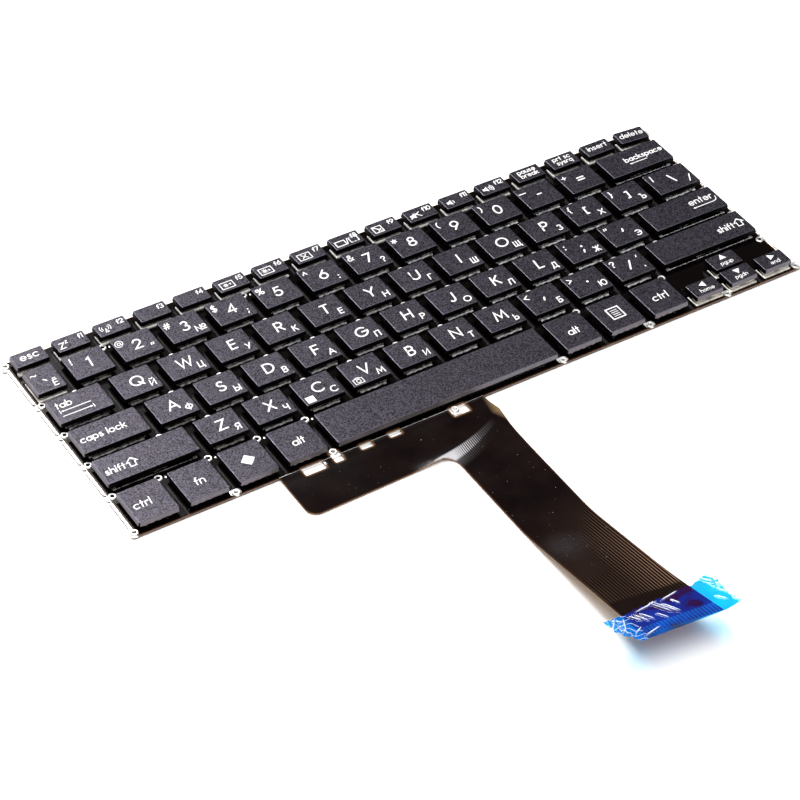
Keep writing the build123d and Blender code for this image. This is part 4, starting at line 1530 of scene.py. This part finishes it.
# %% Film finish: painted highlight on the fold
TOOTH_PITCH, TOOTH = 0.0008, 0.0003
run = maths(tree, "SUBTRACT", across, FOLD_LEFT * MM)
bent = times(tree, run, plus(tree, times(tree, run, FOLD_CURVE[2] / MM), FOLD_CURVE[1]))
off = maths(tree, "SUBTRACT", plus(tree, bent, FOLD_CURVE[0] * MM), along)
wave = waves(tree, across, TOOTH_PITCH)
far_side = plus(tree, spread_of(tree, run, 0.0043, 0.0028, 0.006, 0.026), times(tree, wave, TOOTH))
beyond = maths(tree, "SUBTRACT", off, far_side)
near_edge = spread_of(tree, off, 0, 1, 0.0, 0.0007)
band = times(tree, near_edge, spread_of(tree, beyond, 1, 0, -0.0004, 0.0003))
fringe = spread_of(tree, beyond, 0, 0.12, 0, 0.0004)
under = times(tree, fringe, spread_of(tree, beyond, 1, 0, 0.0005, 0.0042))
stripes = spread_of(tree, wave, 0, 1, -0.5, 0.8)
smooth_end = spread_of(tree, across, 1, 0, -0.0255, -0.0205)
# Painted highlight: the fold's reflection of the light is painted as a pale band with its stripes and teeth.
fold_highlight = times(tree, maths(tree, "MAXIMUM", stripes, smooth_end), plus(tree, band, under))
for start, end, low, high in ((0.0, 0.001, 0, 1), (0.013, 0.021, 1, 0.14), (0.021, 0.029, 1, 0)):
    fold_highlight = times(tree, fold_highlight, spread_of(tree, run, low, high, start, end))
highlighted = blend_of(tree, fold_highlight, sheen_painted, (0.40, 0.395, 0.42))
lined = blend_of(tree, lines_seen, highlighted, (0.19, 0.115, 0.07))
print("teeth of the whitened fold every", TOOTH_PITCH / MM, "mm")

# %% [markdown]
# Along its rim the film is bare and lets light through as amber, more so round the windows and in the
# corner beside the plate. At the tip the print ends in contact fingers, and specks of dust lie on
# everything. Gloss comes last: the film mirrors most where it is smooth, and is rougher at the left of the
# plate and on the fold. The underside has no print, so it shows the tan of the bare layers.

# %% Film finish: bare edges, fingers and gloss
FINGER_PITCH = 0.00118
amber = ramp(tree, rim_value, (0.35, (0.010, 0.005, 0.004)), (1.0, (0.11, 0.05, 0.022)))
rimmed = blend_of(tree, spread_of(tree, rim_value, 0, 0.85, 0.55, 1.0), lined, amber)
beside = plus(tree, along, 0.0557)
inner = maths(tree, "MAXIMUM", times(tree, beside, 0.134), times(tree, beside, -0.447))
to_edge = spread_of(tree, maths(tree, "SUBTRACT", across, inner), 0, 0.9, -0.0036, -0.0010)
bare_corner = times(tree, to_edge, spread_of(tree, along, 1, 0, -0.0490, -0.0475))
thinned = blend_of(tree, bare_corner, rimmed, (0.155, 0.10, 0.052))
glowing = blend_of(tree, spread_of(tree, glow_value, 0, 0.42, 0.62, 1.0), thinned, (0.22, 0.115, 0.05))
finger_share = spread_of(tree, waves(tree, across, FINGER_PITCH), 0, 1, 0.45, 0.8)
finger = ramp(tree, finger_share, (0.0, (0.34, 0.34, 0.36)), (1.0, (0.004, 0.004, 0.006)))
finger_edge = plus(tree, along, times(tree, across, 0.114))
ended = blend_of(tree, spread_of(tree, finger_edge, 0, 1, -0.1701, -0.1703), glowing, finger)
dust = spread_of(tree, noise(tree, 1500.0, 1.0), 0, 0.3, 0.785, 0.815)
plug(tree, blend_of(tree, dust, ended, (0.62, 0.60, 0.58)), shader, "Base Color")
to_left = spread_of(tree, across, 0.025, 0, -0.125, -0.03)
on_plate = times(tree, to_left, spread_of(tree, along, 0, 1, -0.049, -0.046))
duller = plus(tree, on_plate, times(tree, fold_value, 0.08))
plug(tree, plus(tree, duller, spread_of(tree, noise(tree, 45.0, 3.0), 0.09, 0.15)), shader, "Roughness")
plug(tree, spread_of(tree, fold_value, 0.5, 1.0, 0.1, 0.8), shader, "Specular IOR Level")
rippled = times(tree, fold_value, maths(tree, "SUBTRACT", 1, smooth_end))
bumped(tree, shader, times(tree, rippled, wave), 0.15, 0.0001)
print("contact fingers every", FINGER_PITCH / MM, "mm")

# %% Film underside, and the piece
underside = grained("film_underside", 90.0, (0.3, (0.34, 0.24, 0.15)), (0.7, (0.42, 0.30, 0.19)), detail=3.0,
                    Roughness=0.4)
film_piece = make_piece("printed_film", film, [film_finish, underside], "board", crisp=50)
for name, values in (("rim", rim), ("glow", glow), ("fold", fold)):
    layer = film_piece.data.attributes.new(name, "FLOAT", "POINT")
    layer.data.foreach_set("value", np.concatenate([values, values]).astype(np.float32))
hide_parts("membrane_film")
print("film piece points:", len(film.points))

# %% [markdown]
# ## Stiffener and tape
# A stiff strip backs the contacts under the tip. Over them lies a strip of protective tape, thin, clear and
# blue: cyan where white shows through, deep blue over the dark film. It was pressed on by hand, so it is
# creased, its left end is crumpled and its right end torn. Clear colour needs a filter that tints what is
# behind it, mixed with a shiny skin. The white glints along the creases and on the crumpled end are painted
# highlights in its colour, and its free left end is painted a lighter blue for the white table seen through
# it.

# %% Stiffener and tape finishes
stiff = grained("stiff_strip", 300.0, (0.3, (0.02, 0.05, 0.22)), (0.7, (0.03, 0.07, 0.30)), Roughness=0.4)
tape_finish, tree, shader = new_finish("clear_blue_tape", Roughness=0.1, Specular_IOR_Level=0.7)
cloud = noise(tree, 150.0, 3.0)
deep = ramp(tree, cloud, (0.40, (0.032, 0.006, 0.07)), (0.47, (0.014, 0.022, 0.27)),
            (0.72, (0.016, 0.06, 0.55)))
# Painted highlight: points near a crease are painted pale for the glints there.
painted_glint = spread_of(tree, point_value(tree, "crease"), 0, 1, 0.4, 0.85)
_, across, _, _ = axes_of(tree)
# Painted light: the free left end, over the white table, is painted a lighter blue for the table seen through
# it.
free_end = spread_of(tree, across, 1, 0, -0.0275, -0.0245)
table_lit_end = blend_of(tree, free_end, deep, (0.005, 0.15, 0.72))
plug(tree, blend_of(tree, painted_glint, table_lit_end, (0.70, 0.75, 0.96)), shader, "Base Color")
bumped(tree, shader, noise(tree, 240.0, 3.0, (1.0, 0.5, 1.0)), 0.5, 0.0008)
clear = node(tree, "ShaderNodeBsdfTransparent", Color=(0.0, 0.62, 1.0, 1))
mixed = node(tree, "ShaderNodeMixShader")
cover = maths(tree, "MAXIMUM", spread_of(tree, cloud, 0.56, 0.40), times(tree, painted_glint, 0.9))
tree.links.new(cover, mixed.inputs["Fac"])
tree.links.new(clear.outputs["BSDF"], mixed.inputs[1])
tree.links.new(shader.outputs["BSDF"], mixed.inputs[2])
tree.links.new(mixed.outputs["Shader"], tree.nodes["Material Output"].inputs["Surface"])
print("tape and stiffener finishes ready")

# %% Stiffener
tip_y, tip_z = film_place(TAIL_LEFT, film_end, 0.0)[1:]
tail_middle = (TAIL_LEFT + TAIL_RIGHT) / 2
tail_half = (TAIL_RIGHT - TAIL_LEFT) / 2


def on_tail(across, back, up):
    """A point from the tail's tip: across it, back along it and up from its underside."""
    x, back = at_tip(tail_middle + across, back)
    return x, tip_y + back * cos(RISE) + up * sin(RISE), tip_z - back * sin(RISE) + up * cos(RISE)


strip = [[on_tail(x, y, z) for x, y, _ in rounded(-tail_half + s, s, tail_half - s, 9.0 - s, 0.6, 0, 3)]
         for s, z in ((0.06, -0.2), (0.0, -0.14), (0.0, -0.02))]
backing = make_piece("tail_backing", Form().add(*loft(strip)), [stiff], "board")
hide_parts("tail_stiffener")
print("tip of the tail at", round(tip_y, 1), round(tip_z, 1), "mm")

# %% Tape
TAPE_LEFT, TAPE_RIGHT = -tail_half - 7.5, tail_half + 6.0
TAPE_FRONT, TAPE_BACK = -2.0, 11.5
CREASE_WIDTH = 0.3
CREASES = (
    (-9.8, 8.0, -0.5, 0.5, 2.2), (-8.2, 7.6, -0.45, 0.4, 2.6), (-6.4, 7.2, -0.5, 0.45, 2.4),
    (-1.0, 8.2, -0.5, 0.7, 3.4), (0.2, 7.8, -0.5, 0.7, 4.0), (1.6, 7.0, -0.45, 0.5, 2.8),
    (-2.6, 5.2, -0.5, 0.4, 1.8), (4.4, 8.4, -0.4, 0.3, 1.4), (-4.0, 10.7, 12.0, 0.4, 4.2),
    (4.6, 11.0, 9.0, 0.4, 3.2), (-14.2, 7.0, 0.5, 0.7, 3.0), (-16.4, 4.6, -0.6, 0.8, 2.6),
    (-12.4, 2.6, 1.6, 0.6, 2.0), (-15.0, 9.6, -1.2, 0.5, 2.0), (-17.6, 8.0, 0.9, 0.6, 2.2),
    (-9.0, 0.6, 3.0, 0.4, 3.0), (19.6, 8.6, -0.5, 0.6, 4.2), (17.4, 10.4, -0.5, 0.4, 2.0),
    (21.2, 4.2, -0.5, 0.5, 2.6), (15.6, 3.6, -0.6, 0.3, 1.6),
)


def crease_share(x, y):
    """How near a point of the tape is to a crease, which sets its painted glint, and how tall that is; the
    left end is all creased, with streaks of painted glint.
    """
    nearest, tall = 0.0, 0.0
    for cx, cy, lean, height, long in CREASES:
        run = Vector((lean, 1)).normalized()
        t = (x - cx) * run.x + (y - cy) * run.y
        off = (x - cx) * run.y - (y - cy) * run.x
        near = bell(off / CREASE_WIDTH) * max(0.0, 1 - (t / long / 1.2) ** 4)
        nearest = max(nearest, near)
        tall += height * near
    if x < -11:
        wave = sin(1.5 * x + 2.2 * y + 2 * sin(0.7 * x - 0.8 * y))
        nearest = max(nearest, 0.9 * max(0.0, wave) ** 5)
    return nearest, tall


def tape_flat(i, j, columns, rows):
    """A point of the tape's net on the flat tail: torn at its right end, ragged at its left."""
    u, v = i / columns, j / rows
    left = TAPE_LEFT + 5.5 * (1 - v) ** 1.5 + 0.5 * sin(9 * v) + 0.3 * sin(31 * v)
    right = TAPE_RIGHT + 1.3 * v + 0.35 * sin(11 * v + 1) + 0.2 * sin(37 * v) + 0.15 * sin(71 * v)
    x = left + (right - left) * u
    front = TAPE_FRONT + 1.3 * clamp((x + tail_half) / (2 * tail_half))
    y = front + (TAPE_BACK - front) * v
    return x, y + (0.3 * sin(0.8 * x + 0.6) + 0.15 * sin(2.3 * x)) * v


def tape_point(x, y):
    """The same point in space, creased, with its free ends curling up."""
    outside = max(0.0, abs(x + 0.5) - tail_half - 0.5)
    curl = 0.03 * outside ** 2 if x < 0 else 0.022 * outside ** 2
    crumple = 0.4 * sin(2.3 * x + 1.7 * y) * sin(1.1 * x - 2.9 * y) * min(1.0, outside / 3) if x < 0 else 0
    return on_tail(x, y, FILM_THICK + 0.06 + crease_share(x, y)[1] + curl + crumple)


columns, rows = 200, 64
spots = [tape_flat(i, j, columns, rows) for j in range(rows + 1) for i in range(columns + 1)]
wide = columns + 1
net = [[k, k + 1, k + wide + 1, k + wide] for j in range(rows) for k in range(j * wide, j * wide + columns)]
tape = Form().add([tape_point(x, y) for x, y in spots], net)
tape_piece = make_piece("blue_tape", tape, [tape_finish], "board", crisp=60)
# The nearness to a crease is kept on the points to paint the glints.
layer = tape_piece.data.attributes.new("crease", "FLOAT", "POINT")
layer.data.foreach_set("value", np.array([crease_share(x, y)[0] for x, y in spots], np.float32))
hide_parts("protective_tape")
print("tape points:", len(spots))

# %% [markdown]
# ## Table
# The table is a plain white sheet, a touch uneven in tone so that it isn't one flat colour. It is not part
# of the object.

# %% Table
table_white = grained("table_white", 3.0, (0.3, (0.93, 0.93, 0.93)), (0.7, (0.96, 0.96, 0.96)),
                      Roughness=0.9, Specular_IOR_Level=0.1)
mesh = bpy.data.meshes.new("floor")
mesh.from_pydata([(-3, -3, 0), (3, -3, 0), (3, 3, 0), (-3, 3, 0)], [], [(0, 1, 2, 3)])
mesh.materials.append(table_white)
floor = bpy.data.objects.new("floor", mesh)
floor.location.z = -0.0002
bpy.context.scene.collection.objects.link(floor)
print("table ready")
